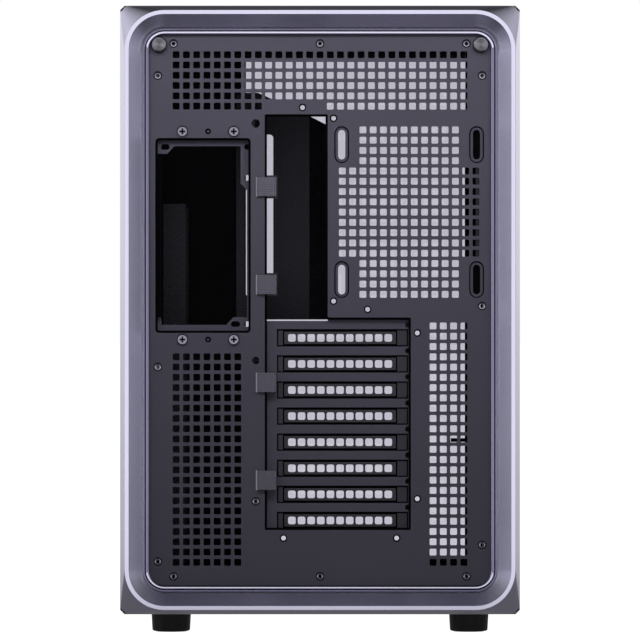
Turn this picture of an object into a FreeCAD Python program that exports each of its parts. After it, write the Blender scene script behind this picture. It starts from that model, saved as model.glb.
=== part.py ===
import FreeCAD, Part
import math
import os

from FreeCAD import Vector

# A two-chamber tower computer case, in millimetres.
# X runs across the case as seen from the rear, Y from the rear to the front, Z up.
# The origin is on the floor, under the middle of the case.

# Sheet metal and clearances
sheet = 1.0              # folded steel of the chassis
cover_sheet = 2.0        # outer top, bottom and port-strip plates
glass_thickness = 4.0    # tempered side and front panes
fit = 0.3                # room round a piece that drops or slides in
screw_fit = 0.25         # room round a screw or rivet shank
round_off = 0.01         # how near counts as the same place

# Widths, from the tray that divides the chambers outwards
supply_offset = 3.0      # tray to the supply opening
supply_width = 74.2
supply_margin = 27.3     # supply opening to the outer face
board_offset = 8.0       # tray to the board opening
board_width = 49.0
fan_gap = 10.9           # board opening to the first fan slots
fan_pitch = 105.0        # screw spacing of the rear fan
fan_margin = 33.6        # last fan slots to the outer face
slot_reach = 64.7        # board opening's far edge to the end of the slot opening

# Heights, from the underside of the body upwards
foot_height = 15.0
slot_floor = 72.8        # underside of the body to the lowest expansion slot
slot_pitch = 20.32
slot_count = 8
slot_head = 15.8         # top slot to the top of the slot opening
board_height = 158.2     # board opening above the slots
vent_gap = 6.4           # board opening to the lowest row of the top vents
top_vent_rows = 6
top_margin = 38.0        # highest row of vents to the top of the body
vent_pitch = 8.0
vent_size = 5.3

# Depths
case_depth = 470.0
board_room = 297.0       # rear panel to the cable cover
drive_gap = 38.0         # drive cage to the cable cover

# Ring frames at the rear and the front
frame_depth = 26.0
corner_inset = 34.5      # outer faces to the centres of the corner arcs
edge_chamfer = 3.5
flank_depth = 12.0       # depth over which the skin flares from rounded to square
flank_inset = 3.5
rim_width = 3.4
rim_break = 0.4
funnel_width = 11.7
funnel_depth = 13.0
bead_width = 4.0
bead_height = 2.0
bead_flat = 0.3          # flat left on the crest of the bead
lip_thickness = 2.0
skirt_wall = 10.0        # wall of the ring round the rear panel
front_lip = 24.0         # outer faces to the front opening

# Long rails at the four edges
rail_face = 20.0
rail_wall = 2.5
rail_ledge = 10.0        # ledge that carries the top and bottom plates
pane_ledge = 12.0        # ledge behind the side panels

# Rear panel
vent_inset = 43.5        # outer faces to the first vents
vent_floor = 40.3        # underside of the body to the lowest vents
supply_drop = 18.5       # top of the board opening to the top of the supply opening
supply_height = 151.6
supply_vent_gap = 18.6   # supply opening to the vents under it
supply_corner = 3.0
tray_vent_gap = 13.0     # tray to the vents under the supply
slot_vent_gap = 17.3     # slot opening to the vents beside it
slot_foot = 7.3          # lowest slot to the foot of the slot opening
fan_drop = 76.1          # top of the board opening to the fan's centre
fan_field = 64.0         # half the height of the fan's vents
fan_slot_width = 5.6
fan_slot_length = 23.0
fan_slot_land = 5.4      # plain sheet kept round each fan slot
tapped_radius = 1.85     # see-through threaded holes
tapped_along = 29.4      # edge of the board opening to the hole over it
tapped_rise = 5.4
tapped_side = 4.6        # board opening to the two holes beside it
tapped_drop = 3.0
tapped_foot = 12.8
tapped_lip = 31.1        # board opening to the hole over the slots
tapped_lip_rise = 6.4
tapped_beside = 5.1      # slot opening to the two holes beside it
tapped_high = 3.8        # above the highest slot
tapped_low = 16.9        # above the lowest slot
tapped_under = 6.4       # slot opening to the two holes under it
cable_hole_radius = 3.2
web_shift = 1.0          # tray to the holes in the web between the openings
cable_hole_drop = 7.1    # top of the board opening to the cable hole
web_hole_drop = 21.5     # foot of the supply opening to the hole in the web

# Rivets and screws
rivet_inset = 29.3       # outer faces to the rivets
rivet_corner = 41.5      # outer faces to the end rivets of a row
rivet_radius = 2.6
rivet_bore = 1.0
rivet_shank = 1.7
rivet_head = 0.9
side_rivet_drop = 54.2   # top of the body to the highest side rivets
steel_side_rivets = (40.9, 192.4)    # above the underside of the body
glass_side_rivets = (53.9, 239.9)
tray_rivet_rise = 15.0   # above the lowest slot
flange_width = 24.0      # folded flange behind the edge of the panel
flange_fold = 8.0
thumb_radius = 5.6
thumb_length = 5.0
thumb_shank = 2.0
thumb_edge = 0.45
screw_head_radius = 3.6
screw_head = 2.0
screw_shank = 1.6

# Power supply bracket
bracket_recess = 5.0     # behind the rear panel
bracket_flange = 10.5
bracket_bar = 6.2
bracket_slant = 5.6      # slanted ends of the bars
bracket_thin_bar = 2.9
bracket_wide_bar = 7.9
bracket_wide_height = 35.0
bracket_ear = 9.0
bracket_ear_height = 12.2
bracket_foot_bar = 4.3
bracket_foot_height = 36.4
supply_bolt_pitch = 138.0
supply_bolt_step = 114.0 # third screw of the long side, above the lowest
supply_bolt_side = 64.0  # second column of supply screws
supply_bolt_radius = 2.2
supply_slot_length = 7.2
bracket_screw_pitch = 40.0
bracket_screw_drop = 5.2 # supply opening to the bracket screws
bracket_screw_shift = 4.0

# Expansion slots
slot_recess = 3.0        # slot plate behind the rear panel
slot_sheet = 1.2
slot_length = 102.1
slot_height = 13.5
slot_start = 9.5         # edge of the board opening to the slots
slot_plate_drop = 2.6    # top of the slot opening to the top of the slot plate
cover_lap = 1.6          # cover beyond the slot's long edges
boss_length = 88.1       # raised middle of a cover
boss_height = 10.6
boss_rise = 0.9
boss_start = 5.1         # start of the slot to the raised middle
cover_vent = 5.9
cover_vent_pitch = 7.51
cover_vent_count = 11
cover_tab = 12.0
cover_tab_height = 10.0
shelf_depth = 15.0
shelf_lip = 6.2          # fold that stiffens the edge of the screw shelf
notch_radius = 2.2

# Straps
strap_width = 15.0
strap_thickness = 1.4
strap_pitch = 76.2
strap_drop = 56.3        # top of the board opening to the first strap
strap_count = 4
strap_tray_gap = 2.2     # tray to the strap
strap_slot_gap = 1.2     # room left beside a strap in its slot
strap_cover_gap = 0.3    # strap to the ends of the slot covers
strap_bow = 1.0          # room between the strap and what it wraps
strap_turn = 1.2         # outer radius of a strap's folds
strap_inner_turn = 0.6

# Board tray and standoffs
tray_tab = 6.0           # tab folded behind the rear panel
tray_tab_height = 10.0
tray_headroom = 69.0     # top of the tray below the top of the body
cooler_window_height = 112.0
cooler_window_depth = 120.0
cooler_window_drop = 14.0
cooler_window_start = 45.0
window_corner = 8.0
tray_slot_depth = 22.0
tray_slot_height = 90.0
tray_slot_edge = 8.0
standoff_radius = 2.9
standoff_bore = 1.5
standoff_height = 6.5
standoff_rear = 16.5     # rear panel to the first column
standoff_rise = 2.0      # first row above the board opening
board_columns = (0.0, 154.94, 227.33)
board_rows = (0.0, 157.48, 281.94)

# Cable cover, side fan bracket and drive cage
cover_left = 18.0        # cable cover past the tray
cover_fold = 42.3        # tray to the fold
wing_width = 17.9
wing_depth = 38.0
cable_cover_foot = 1.5   # below the top of the slot opening
cable_cover_top = 26.9   # above the board opening
cable_cover_slope = 27.6
cable_slot_rise = 19.7   # foot of the cable cover to its slot
cable_slot_height = 132.5
cable_slot_back = 10.9   # slot past the tray
cable_slot_front = 12.5
fan_plane = 11.4         # tray to the side fan bracket
fan_window = 112.0
fan_window_corner = 24.0
side_fan_pitch = 124.0
front_wall_lap = 2.0     # blind front of the cable chamber past the front opening
drive_cage_width = 18.5
drive_cage_depth = 110.0
drive_cage_height = 295.0
drive_cage_inset = 27.4

# Floor, top and pillar
floor_height = 29.0      # underside of the body to the floor of the chambers
top_bracket_drop = 14.0
bracket_inset = 24.5     # outer faces to the folded sides of floor and top bracket
pillar_inset = 33.1
pillar_depth = 14.0
hook_length = 12.4
hook_height = 126.5
hook_thickness = 3.0
louvre_length = 100.0    # long vents of the plates
louvre_width = 5.0
louvre_pitch = 26.0
louvre_bridge = 16.0
louvre_margin = 30.0
filter_thickness = 1.5
filter_mesh = 0.6
filter_border = 8.0
floor_window = 150.0
floor_window_depth = 330.0

# Side panels
glass_edge = 0.5         # ground corner of the pane
side_fold = 3.7          # folded edge of the steel panel
stud_inset = 14.0        # ends of the panel to the studs
stud_drop = 6.0          # rail to the studs
stud_radius = 2.4
stud_ball = 2.9
stud_reach = 9.0         # stud beyond the ledge
socket_width = 12.0
socket_wall = 2.5
socket_depth = 12.0

# Ports and power button
strip_depth = 34.0
button_radius = 7.0
button_rise = 0.8
button_edge = 0.5
button_travel = 1.2
button_collar = 1.2
button_x = -100.0
jack_x = -72.0
usb_c_x = -52.0
usb_a_x = (-30.0, -8.0)
usb_a_size = (13.1, 5.7)
usb_a_wall = 0.7
usb_c_size = (9.0, 3.3)
jack_radius = 3.4
jack_bore = 1.75
post_radius = 3.0
board_sheet = 1.6
io_board_length = 130.0
io_board_width = 22.0
switch_size = 10.0

# Feet
foot_radius = 15.5
foot_taper = 0.7
foot_edge = 1.4
foot_inset = 38.9        # outer faces to the feet's centres
foot_end_inset = 52.0
pad_radius = 12.0
pad_thickness = 1.6
pad_proud = 0.4

# Places worked out from the driving sizes
cable_chamber = supply_offset + supply_width + supply_margin
main_chamber = board_offset + board_width + fan_gap + fan_pitch + fan_margin
case_width = cable_chamber + main_chamber
half_width = case_width / 2
tray_x = cable_chamber - half_width
board_left = tray_x + board_offset
board_right = board_left + board_width
slot_right = board_right + slot_reach
fan_x = board_right + fan_gap + fan_pitch / 2
supply_right = tray_x - supply_offset
supply_left = supply_right - supply_width

body_bottom = foot_height
low_slot_z = body_bottom + slot_floor
high_slot_z = low_slot_z + (slot_count - 1) * slot_pitch
slot_top = high_slot_z + slot_head
slot_bottom = low_slot_z - slot_foot
board_top = slot_top + board_height
low_vent_z = board_top + vent_gap
body_top = low_vent_z + (top_vent_rows - 1) * vent_pitch + top_margin
fan_z = board_top - fan_drop
supply_top = board_top - supply_drop
supply_bottom = supply_top - supply_height
floor_z = body_bottom + floor_height
top_bracket_z = body_top - top_bracket_drop
tray_top = body_top - tray_headroom

rear_y = -case_depth / 2
front_y = case_depth / 2
rim_inset = flank_inset + rim_width
funnel_inset = rim_inset + funnel_width
lip_inset = funnel_inset + bead_width
panel_rear = rear_y + funnel_depth + lip_thickness
panel_front = panel_rear + sheet
rail_rear = rear_y + frame_depth
rail_front = front_y - frame_depth
cable_cover_y = panel_front + board_room
slot_plate_y = panel_front + slot_recess
slot_cover_y = slot_plate_y + slot_sheet
bracket_y = panel_front + bracket_recess
slot_x = board_left + slot_start
ledge_drop = cover_sheet + rail_wall
pane_x = half_width - glass_thickness
strip_rear = rail_front - strip_depth

AXES = {"xz": Vector(0, 1, 0), "xy": Vector(0, 0, 1), "yz": Vector(1, 0, 0)}


def at(plane, u, v, level):
    """Point of a drawing plane: u and v in the plane, level across it."""
    if plane == "xz":
        return Vector(u, level, v)
    if plane == "xy":
        return Vector(u, v, level)
    return Vector(level, u, v)


def polygon(plane, level, points):
    corners = [at(plane, u, v, level) for u, v in points]
    return Part.makePolygon(corners + corners[:1])


def rectangle(plane, level, u0, u1, v0, v1):
    return polygon(plane, level, [(u0, v0), (u1, v0), (u1, v1), (u0, v1)])


def chamfered(plane, level, u0, u1, v0, v1, cut):
    points = [(u0 + cut, v0), (u1 - cut, v0), (u1, v0 + cut), (u1, v1 - cut)]
    points += [(u1 - cut, v1), (u0 + cut, v1), (u0, v1 - cut), (u0, v0 + cut)]
    return polygon(plane, level, points)


def arc(plane, level, u, v, radius, start, sweep):
    """Arc about u, v from the start angle, in degrees."""
    points = []
    for turn in (start, start + sweep / 2, start + sweep):
        angle = math.radians(turn)
        points.append(at(plane, u + radius * math.cos(angle), v + radius * math.sin(angle), level))
    return Part.Arc(*points).toShape()


def joined(arcs):
    """Closed wire of the arcs, with a straight edge from each to the next."""
    edges = []
    for before, after in zip(arcs[-1:] + arcs[:-1], arcs):
        edges.append(Part.makeLine(before.Vertexes[-1].Point, after.Vertexes[0].Point))
        edges.append(after)
    return Part.Wire(edges)


def rounded(plane, level, u0, u1, v0, v1, radius):
    centres = [(u1 - radius, v0 + radius), (u1 - radius, v1 - radius)]
    centres += [(u0 + radius, v1 - radius), (u0 + radius, v0 + radius)]
    turns = (-90, 0, 90, 180)
    return joined([arc(plane, level, u, v, radius, t, 90) for (u, v), t in zip(centres, turns)])


def upright_slot(plane, level, u, v, width, length):
    reach = (length - width) / 2
    ends = [arc(plane, level, u, v + reach, width / 2, 0, 180)]
    ends.append(arc(plane, level, u, v - reach, width / 2, 180, 180))
    return joined(ends)


def level_slot(plane, level, u, v, length, width):
    reach = (length - width) / 2
    ends = [arc(plane, level, u + reach, v, width / 2, -90, 180)]
    ends.append(arc(plane, level, u - reach, v, width / 2, 90, 180))
    return joined(ends)


def circle(plane, level, u, v, radius):
    return Part.Wire(Part.makeCircle(radius, at(plane, u, v, level), AXES[plane]))


def plate(plane, thickness, outline, holes=()):
    """Flat sheet: the outline with its holes, thickened along the plane's axis."""
    face = Part.Face(outline)
    if holes:
        face = Part.makeFace([outline] + list(holes), "Part::FaceMakerBullseye")
    return face.extrude(AXES[plane] * thickness)


def box(x0, x1, y0, y1, z0, z1):
    return Part.makeBox(x1 - x0, y1 - y0, z1 - z0, Vector(x0, y0, z0))


def rod(axis, x, y, z, radius, length):
    return Part.makeCylinder(radius, length, Vector(x, y, z), axis)


def fused(solids):
    return solids[0].fuse(solids[1:]).removeSplitter()


def stepped(first, last, pitch):
    """Evenly spaced places from first towards last, as many as fit."""
    count = int((last - first) / pitch + round_off) + 1
    return [first + pitch * i for i in range(count)]


def centred(middle, reach, pitch):
    count = int(2 * reach / pitch + round_off) + 1
    return [middle + pitch * (i - (count - 1) / 2) for i in range(count)]


def ring_outline(inset, y):
    left = inset - half_width
    return rounded("xz", y, left, -left, body_bottom + inset, body_top - inset, corner_inset - inset)


def ring_block(inset, y0, y1):
    return plate("xz", y1 - y0, ring_outline(inset, y0))


def square_outline(y):
    return chamfered("xz", y, -half_width, half_width, body_bottom, body_top, edge_chamfer)


def flared_skin(rim_y, inward):
    """Outer form of a ring frame, from the rounded rim to the square body."""
    sections = [square_outline(rim_y + inward * frame_depth)]
    sections.append(square_outline(rim_y + inward * flank_depth))
    sections.append(ring_outline(flank_inset, rim_y + inward * rim_break))
    sections.append(ring_outline(flank_inset + rim_break, rim_y))
    return Part.makeLoft(sections, True, True)


def make_rear_frame():
    floor_y = rear_y + funnel_depth
    mouth = Part.makeLoft([ring_outline(rim_inset, rear_y), ring_outline(funnel_inset, floor_y)], True, True)
    neck = ring_block(lip_inset, floor_y, panel_rear)
    pocket = ring_block(skirt_wall, panel_rear, rail_rear)
    ring = flared_skin(rear_y, 1).cut(mouth).cut(neck).cut(pocket)
    crest_y = floor_y - bead_height
    bead = ring_block(funnel_inset, crest_y, floor_y).cut(ring_block(lip_inset, crest_y, floor_y))
    crest = [e for e in bead.Edges if e.BoundBox.YMax < crest_y + round_off]
    bead = bead.makeFillet(min(bead_width / 2, bead_height) - bead_flat, crest)
    return fused([ring, bead])


def make_front_frame():
    pane_y = front_y - rim_break - glass_thickness
    lip_y = pane_y - lip_thickness
    recess = ring_block(rim_inset, pane_y, front_y)
    opening = ring_block(front_lip, lip_y, pane_y)
    pocket = ring_block(skirt_wall, rail_front, lip_y)
    return flared_skin(front_y, -1).cut(recess).cut(opening).cut(pocket)


def make_front_glass():
    return ring_block(rim_inset + fit, front_y - rim_break - glass_thickness, front_y - rim_break)


def rivet_places():
    top = body_top - rivet_inset
    bottom = body_bottom + rivet_inset
    side = half_width - rivet_inset
    ends = half_width - rivet_corner
    places = [(x, z) for z in (top, bottom) for x in (-ends, 0, ends)]
    places += [(x, body_top - side_rivet_drop) for x in (-side, side)]
    places += [(-side, body_bottom + rise) for rise in steel_side_rivets]
    places += [(side, body_bottom + rise) for rise in glass_side_rivets]
    return places


def tray_rivet():
    """The one rivet that holds the tray's tab."""
    return (tray_x + web_shift, low_slot_z + tray_rivet_rise)


def thumb_places():
    reach = corner_inset - lip_inset - thumb_radius - fit
    inset = corner_inset - reach / math.sqrt(2)
    return [(inset - half_width, body_top - inset), (half_width - inset, body_top - inset)]


def fan_slot_places():
    half = fan_pitch / 2
    return [(fan_x + i * half, fan_z + j * half) for i in (-1, 1) for j in (-1, 1)]


def bracket_middle():
    return (supply_left + supply_right) / 2 + bracket_screw_shift


def bracket_screw_rows():
    return (supply_top + bracket_screw_drop, supply_bottom - bracket_screw_drop)


def bracket_screw_places():
    half = bracket_screw_pitch / 2
    return [(bracket_middle() + i * half, z) for i in (-1, 1) for z in bracket_screw_rows()]


def strap_places():
    return [board_top - strap_drop - strap_pitch * i for i in range(strap_count)]


def strap_span():
    """Outer faces of a strap's two legs in X."""
    return tray_x + strap_tray_gap, slot_x - fit - strap_cover_gap


def tapped_places():
    """Threaded holes round the board opening and the slots."""
    beside = slot_right + tapped_beside
    under = slot_bottom - tapped_under
    places = [(board_left + tapped_along, board_top + tapped_rise)]
    places += [(board_right + tapped_side, board_top - tapped_drop)]
    places += [(board_right + tapped_side, slot_top + tapped_foot)]
    places += [(board_right + tapped_lip, slot_top + tapped_lip_rise)]
    places += [(beside, high_slot_z + tapped_high), (beside, low_slot_z + tapped_low)]
    places += [(slot_x + boss_start, under), (slot_x + boss_start + boss_length, under)]
    places += [(tray_x + web_shift, supply_bottom - web_hole_drop)]
    places += [(bracket_middle(), z) for z in bracket_screw_rows()]
    return places


def vent_wires(y):
    """Square vents of the rear panel, in four fields on one pitch."""
    left = vent_inset - half_width
    low = body_bottom + vent_floor
    places = []
    for x in stepped(left, -left, vent_pitch):
        for z in stepped(low_vent_z, body_top - top_margin, vent_pitch):
            over_board = board_left < x < board_right and z < low_vent_z + vent_pitch / 2
            if not over_board:
                places.append((x, z))
    keep_x = fan_slot_land + fan_slot_width / 2 + vent_size / 2
    keep_z = fan_slot_land + fan_slot_length / 2
    for x in centred(fan_x, fan_pitch / 2, vent_pitch):
        for z in centred(fan_z, fan_field, vent_pitch):
            near = [s for s in fan_slot_places() if abs(x - s[0]) < keep_x and abs(z - s[1]) < keep_z]
            if not near:
                places.append((x, z))
    for x in stepped(slot_right + slot_vent_gap, -left, vent_pitch):
        for z in stepped(low, slot_top - vent_gap, vent_pitch):
            places.append((x, z))
    for x in stepped(left, tray_x - tray_vent_gap, vent_pitch):
        for z in stepped(low, supply_bottom - supply_vent_gap, vent_pitch):
            places.append((x, z))
    half = vent_size / 2
    return [rectangle("xz", y, x - half, x + half, z - half, z + half) for x, z in places]


def make_rear_panel():
    y = panel_rear
    holes = vent_wires(y)
    holes.append(rounded("xz", y, supply_left, supply_right, supply_bottom, supply_top, supply_corner))
    corners = [(board_left, slot_bottom), (slot_right, slot_bottom), (slot_right, slot_top)]
    corners += [(board_right, slot_top), (board_right, board_top), (board_left, board_top)]
    holes.append(polygon("xz", y, corners))
    for x, z in fan_slot_places():
        holes.append(upright_slot("xz", y, x, z, fan_slot_width, fan_slot_length))
    for x, z in rivet_places() + [tray_rivet()]:
        holes.append(circle("xz", y, x, z, rivet_shank + screw_fit))
    for x, z in thumb_places():
        holes.append(circle("xz", y, x, z, thumb_shank + screw_fit))
    for x, z in bracket_screw_places():
        holes.append(circle("xz", y, x, z, screw_shank + screw_fit))
    for x, z in tapped_places():
        holes.append(circle("xz", y, x, z, tapped_radius))
    holes.append(circle("xz", y, tray_x + web_shift, board_top - cable_hole_drop, cable_hole_radius))
    leg = strap_span()[0]
    for z in strap_places():
        half = strap_width / 2 + fit
        far = leg + strap_thickness + fit
        holes.append(rectangle("xz", y, leg - strap_slot_gap, far, z - half, z + half))
    return plate("xz", sheet, ring_outline(skirt_wall + fit, y), holes)


def make_rear_flange():
    """Folded sheet ring that stiffens the panel's edge and takes its rivets."""
    outer = skirt_wall + fit
    inner = outer + flange_width
    left = inner - half_width
    window = rectangle("xz", panel_front, left, -left, body_bottom + inner, body_top - inner)
    holes = [window]
    for x, z in rivet_places():
        holes.append(circle("xz", panel_front, x, z, rivet_shank + screw_fit))
    for x, z in thumb_places():
        holes.append(circle("xz", panel_front, x, z, thumb_shank + screw_fit))
    ring = plate("xz", sheet, ring_outline(outer, panel_front), holes)
    fold_end = panel_front + sheet + flange_fold
    fold = ring_block(outer, panel_front, fold_end).cut(ring_block(outer + sheet, panel_front, fold_end))
    reach = bracket_flange + sheet + fit
    room = box(supply_left - bracket_bar, left + sheet, panel_front, panel_front + sheet,
               supply_bottom - reach, supply_top + reach)
    solid = fused([ring, fold]).cut(room)
    reach_x = fan_slot_width / 2 + fan_slot_land
    reach_z = fan_slot_length / 2 + fan_slot_land
    for x, z in fan_slot_places():
        solid = solid.cut(box(x - reach_x, x + reach_x, panel_front, panel_front + sheet,
                              z - reach_z, z + reach_z))
    return solid


def make_rivets():
    axis = Vector(0, 1, 0)
    depth = rivet_head + 3 * sheet
    rivets = []
    for x, z in rivet_places() + [tray_rivet()]:
        head = rod(axis, x, panel_rear - rivet_head, z, rivet_radius, rivet_head)
        shank = rod(axis, x, panel_rear, z, rivet_shank, 3 * sheet)
        bore = rod(axis, x, panel_rear - rivet_head, z, rivet_bore, depth)
        rivets.append(fused([head, shank]).cut(bore))
    return Part.makeCompound(rivets)


def make_thumb_screws():
    axis = Vector(0, 1, 0)
    screws = []
    for x, z in thumb_places():
        head = rod(axis, x, panel_rear - thumb_length, z, thumb_radius, thumb_length)
        head = head.makeChamfer(thumb_edge, head.Edges)
        shank = rod(axis, x, panel_rear, z, thumb_shank, flange_fold)
        screws.append(fused([head, shank]))
    return Part.makeCompound(screws)


def pan_screw(axis, x, y, z, shank_length):
    """Screw whose head stands against the axis, seated at x, y, z."""
    seat = Vector(x, y, z)
    head = Part.makeCylinder(screw_head_radius, screw_head, seat - axis * screw_head, axis)
    shank = Part.makeCylinder(screw_shank, shank_length, seat, axis)
    return fused([head, shank])


def make_supply_bracket():
    left = supply_left - bracket_thin_bar
    right = supply_right + supply_offset - sheet - fit
    high = supply_top + sheet
    low = supply_bottom - sheet
    middle = plate("xz", sheet, rectangle("xz", bracket_y, left, right, low - sheet, high + sheet),
                   [polygon("xz", bracket_y, bracket_opening())] + supply_bolt_wires(bracket_y))
    screws = [circle("xz", panel_front, x, z, screw_shank + screw_fit) for x, z in bracket_screw_places()]
    pieces = [middle]
    for near, far, wires in ((high, supply_top + bracket_flange, screws[0::2]),
                             (supply_bottom - bracket_flange, low, screws[1::2])):
        pieces.append(plate("xz", sheet, rectangle("xz", panel_front, left, right, near, far), wires))
    for foot in (high, low - sheet):
        pieces.append(box(left, right, panel_front, bracket_y + sheet, foot, foot + sheet))
    return fused(pieces)


def bracket_opening():
    """Opening of the supply bracket, with ears for the screws in two mounting directions."""
    left = supply_left - bracket_thin_bar / 2
    right = supply_right
    top = supply_top
    bottom = supply_bottom
    slant = bracket_slant
    ear_foot = bottom + bracket_ear_height
    points = [(left, top - bracket_ear_height), (supply_left + bracket_ear, top - bracket_ear_height)]
    points += [(supply_left + bracket_ear + slant, top - bracket_bar)]
    points += [(right - bracket_wide_bar, top - bracket_bar)]
    points += [(right - bracket_wide_bar, top - bracket_wide_height)]
    points += [(right - bracket_thin_bar, top - bracket_wide_height - slant)]
    points += [(right - bracket_thin_bar, ear_foot)]
    points += [(right - bracket_wide_bar - slant, ear_foot)]
    points += [(right - bracket_wide_bar - 2 * slant, bottom + bracket_bar)]
    points += [(supply_left + bracket_foot_bar, bottom + bracket_bar)]
    points += [(supply_left + bracket_foot_bar, bottom + bracket_foot_height - slant / 2)]
    points += [(left + slant / 2, bottom + bracket_foot_height), (left, bottom + bracket_foot_height)]
    return points


def supply_bolt_wires(y):
    middle = (supply_top + supply_bottom) / 2
    half = supply_bolt_pitch / 2
    near = supply_right - bracket_thin_bar
    far = near - supply_bolt_side
    wires = [circle("xz", y, near, middle + i * half, supply_bolt_radius) for i in (-1, 1)]
    wires.append(circle("xz", y, near, middle - half + supply_bolt_step, supply_bolt_radius))
    wires.append(level_slot("xz", y, far, middle + half, supply_slot_length, 2 * supply_bolt_radius))
    flipped = near - bracket_ear
    wires.append(level_slot("xz", y, flipped, middle - half, supply_slot_length, 2 * supply_bolt_radius))
    return wires


def make_supply_bracket_screws():
    screws = []
    for x, z in bracket_screw_places():
        screws.append(pan_screw(Vector(0, 1, 0), x, panel_rear, z, 4 * sheet))
    return Part.makeCompound(screws)


def slot_heights():
    """Expansion slots from the top one down."""
    return [high_slot_z - slot_pitch * i for i in range(slot_count)]


def shelf_x():
    """Inner face of the shelf that the slot covers are screwed to."""
    return slot_right + slot_sheet


def slot_screw_y():
    return slot_cover_y + sheet + cover_tab / 2


def make_slot_plate():
    """Recessed plate with the slots, its folded sides and the screw shelf."""
    left = board_left - slot_sheet
    top = slot_top - slot_plate_drop
    foot = slot_bottom - slot_sheet
    half = slot_height / 2
    holes = [rectangle("xz", slot_plate_y, slot_x, slot_x + slot_length, z - half, z + half)
             for z in slot_heights()]
    head = slot_top + cover_lap
    outline = [(left, foot), (shelf_x(), foot), (shelf_x(), head), (board_right, head), (board_right, top)]
    outline.append((left, top))
    middle = plate("xz", slot_sheet, polygon("xz", slot_plate_y, outline), holes)
    depth = slot_recess + slot_sheet
    pieces = [middle]
    pieces.append(box(left - slot_sheet, left, panel_front, panel_front + depth, foot, top))
    low = foot - slot_sheet
    near = shelf_x()
    pieces.append(box(left - slot_sheet, near, panel_front, panel_front + depth, low, foot))
    end = slot_cover_y + shelf_depth
    shelf = box(near, near + slot_sheet, panel_front, end, low, top)
    shelf = shelf.fuse(box(near - shelf_lip, near, end - slot_sheet, end, low, top))
    bore = screw_shank + screw_fit
    for z in slot_heights():
        shelf = shelf.cut(rod(Vector(1, 0, 0), near, slot_screw_y(), z, bore, slot_sheet))
    pieces.append(shelf)
    solid = fused(pieces)
    for z in slot_heights():
        notch_z = z + slot_pitch / 2
        if notch_z + notch_radius < top:
            solid = solid.cut(rod(Vector(0, 1, 0), slot_x + slot_length, slot_plate_y, notch_z,
                                  notch_radius, slot_sheet))
    turn = strap_span()[1]
    for z in strap_places():
        reach = strap_width / 2 + fit
        solid = solid.cut(box(turn - strap_thickness - fit, turn + fit, slot_plate_y, slot_cover_y,
                              z - reach, z + reach))
    return solid


def make_slot_cover(z):
    """Blanking strip with a raised, vented middle and a tab bent back for its screw."""
    left = slot_x - fit
    right = shelf_x()
    half = slot_height / 2 + cover_lap
    boss_left = slot_x + boss_start
    boss_half = boss_height / 2
    first = boss_left + (boss_length - (cover_vent_count - 1) * cover_vent_pitch) / 2
    vent = cover_vent / 2

    def vents(y):
        centres = [first + cover_vent_pitch * i for i in range(cover_vent_count)]
        return [rectangle("xz", y, x - vent, x + vent, z - vent, z + vent) for x in centres]

    rise_y = slot_cover_y - boss_rise
    strip_edge = rectangle("xz", slot_cover_y, left, right, z - half, z + half)
    strip = plate("xz", sheet, strip_edge, vents(slot_cover_y))
    boss_edge = rectangle("xz", rise_y, boss_left, boss_left + boss_length, z - boss_half, z + boss_half)
    boss = plate("xz", boss_rise, boss_edge, vents(rise_y))
    tab = box(right - sheet, right, slot_cover_y, slot_cover_y + sheet + cover_tab,
              z - cover_tab_height / 2, z + cover_tab_height / 2)
    tab = tab.cut(rod(Vector(1, 0, 0), right - sheet, slot_screw_y(), z, screw_shank + screw_fit, sheet))
    return fused([strip, boss, tab])


def make_slot_cover_screws():
    screws = []
    for z in slot_heights():
        seat = shelf_x() - sheet
        screws.append(pan_screw(Vector(1, 0, 0), seat, slot_screw_y(), z, 2 * sheet + 2 * slot_sheet))
    return Part.makeCompound(screws)


def make_cable_strap(z):
    """Flat woven loop through the panel, round its edge and back."""
    left, right = strap_span()
    near = panel_rear - strap_bow - strap_thickness
    far = slot_cover_y + sheet + strap_bow + strap_thickness
    low = z - strap_width / 2
    outer = rounded("xy", low, left, right, near, far, strap_turn)
    inner = rounded("xy", low, left + strap_thickness, right - strap_thickness,
                    near + strap_thickness, far - strap_thickness, strap_inner_turn)
    return plate("xy", strap_width, outer, [inner])


def make_board_tray():
    window_top = board_top - cooler_window_drop
    window_rear = panel_front + cooler_window_start
    holes = [rounded("yz", tray_x - sheet, window_rear, window_rear + cooler_window_depth,
                     window_top - cooler_window_height, window_top, window_corner)]
    slot_end = cable_cover_y - tray_slot_edge
    for middle in (low_slot_z + tray_slot_height / 2, board_top - tray_slot_height):
        holes.append(rounded("yz", tray_x - sheet, slot_end - tray_slot_depth, slot_end,
                             middle - tray_slot_height / 2, middle + tray_slot_height / 2, window_corner))
    step_y = panel_front + sheet + fit
    step_z = body_bottom + skirt_wall + flange_width + 2 * fit
    outline = [(step_y, floor_z), (cable_cover_y, floor_z), (cable_cover_y, tray_top)]
    outline += [(panel_front, tray_top), (panel_front, step_z), (step_y, step_z)]
    wall = plate("yz", sheet, polygon("yz", tray_x - sheet, outline), holes)
    x, z = tray_rivet()
    half = tray_tab_height / 2
    tab = box(tray_x - sheet, tray_x - sheet + tray_tab, panel_front, panel_front + sheet, z - half, z + half)
    bore = rod(Vector(0, 1, 0), x, panel_front, z, rivet_shank + screw_fit, 3 * sheet)
    return fused([wall, tab]).cut(bore)


def make_standoffs():
    posts = []
    for column in board_columns:
        for row in board_rows:
            y = panel_front + standoff_rear + column
            z = board_top + standoff_rise - row
            post = rod(Vector(1, 0, 0), tray_x, y, z, standoff_radius, standoff_height)
            posts.append(post.cut(rod(Vector(1, 0, 0), tray_x, y, z, standoff_bore, standoff_height)))
    return Part.makeCompound(posts)


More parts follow.
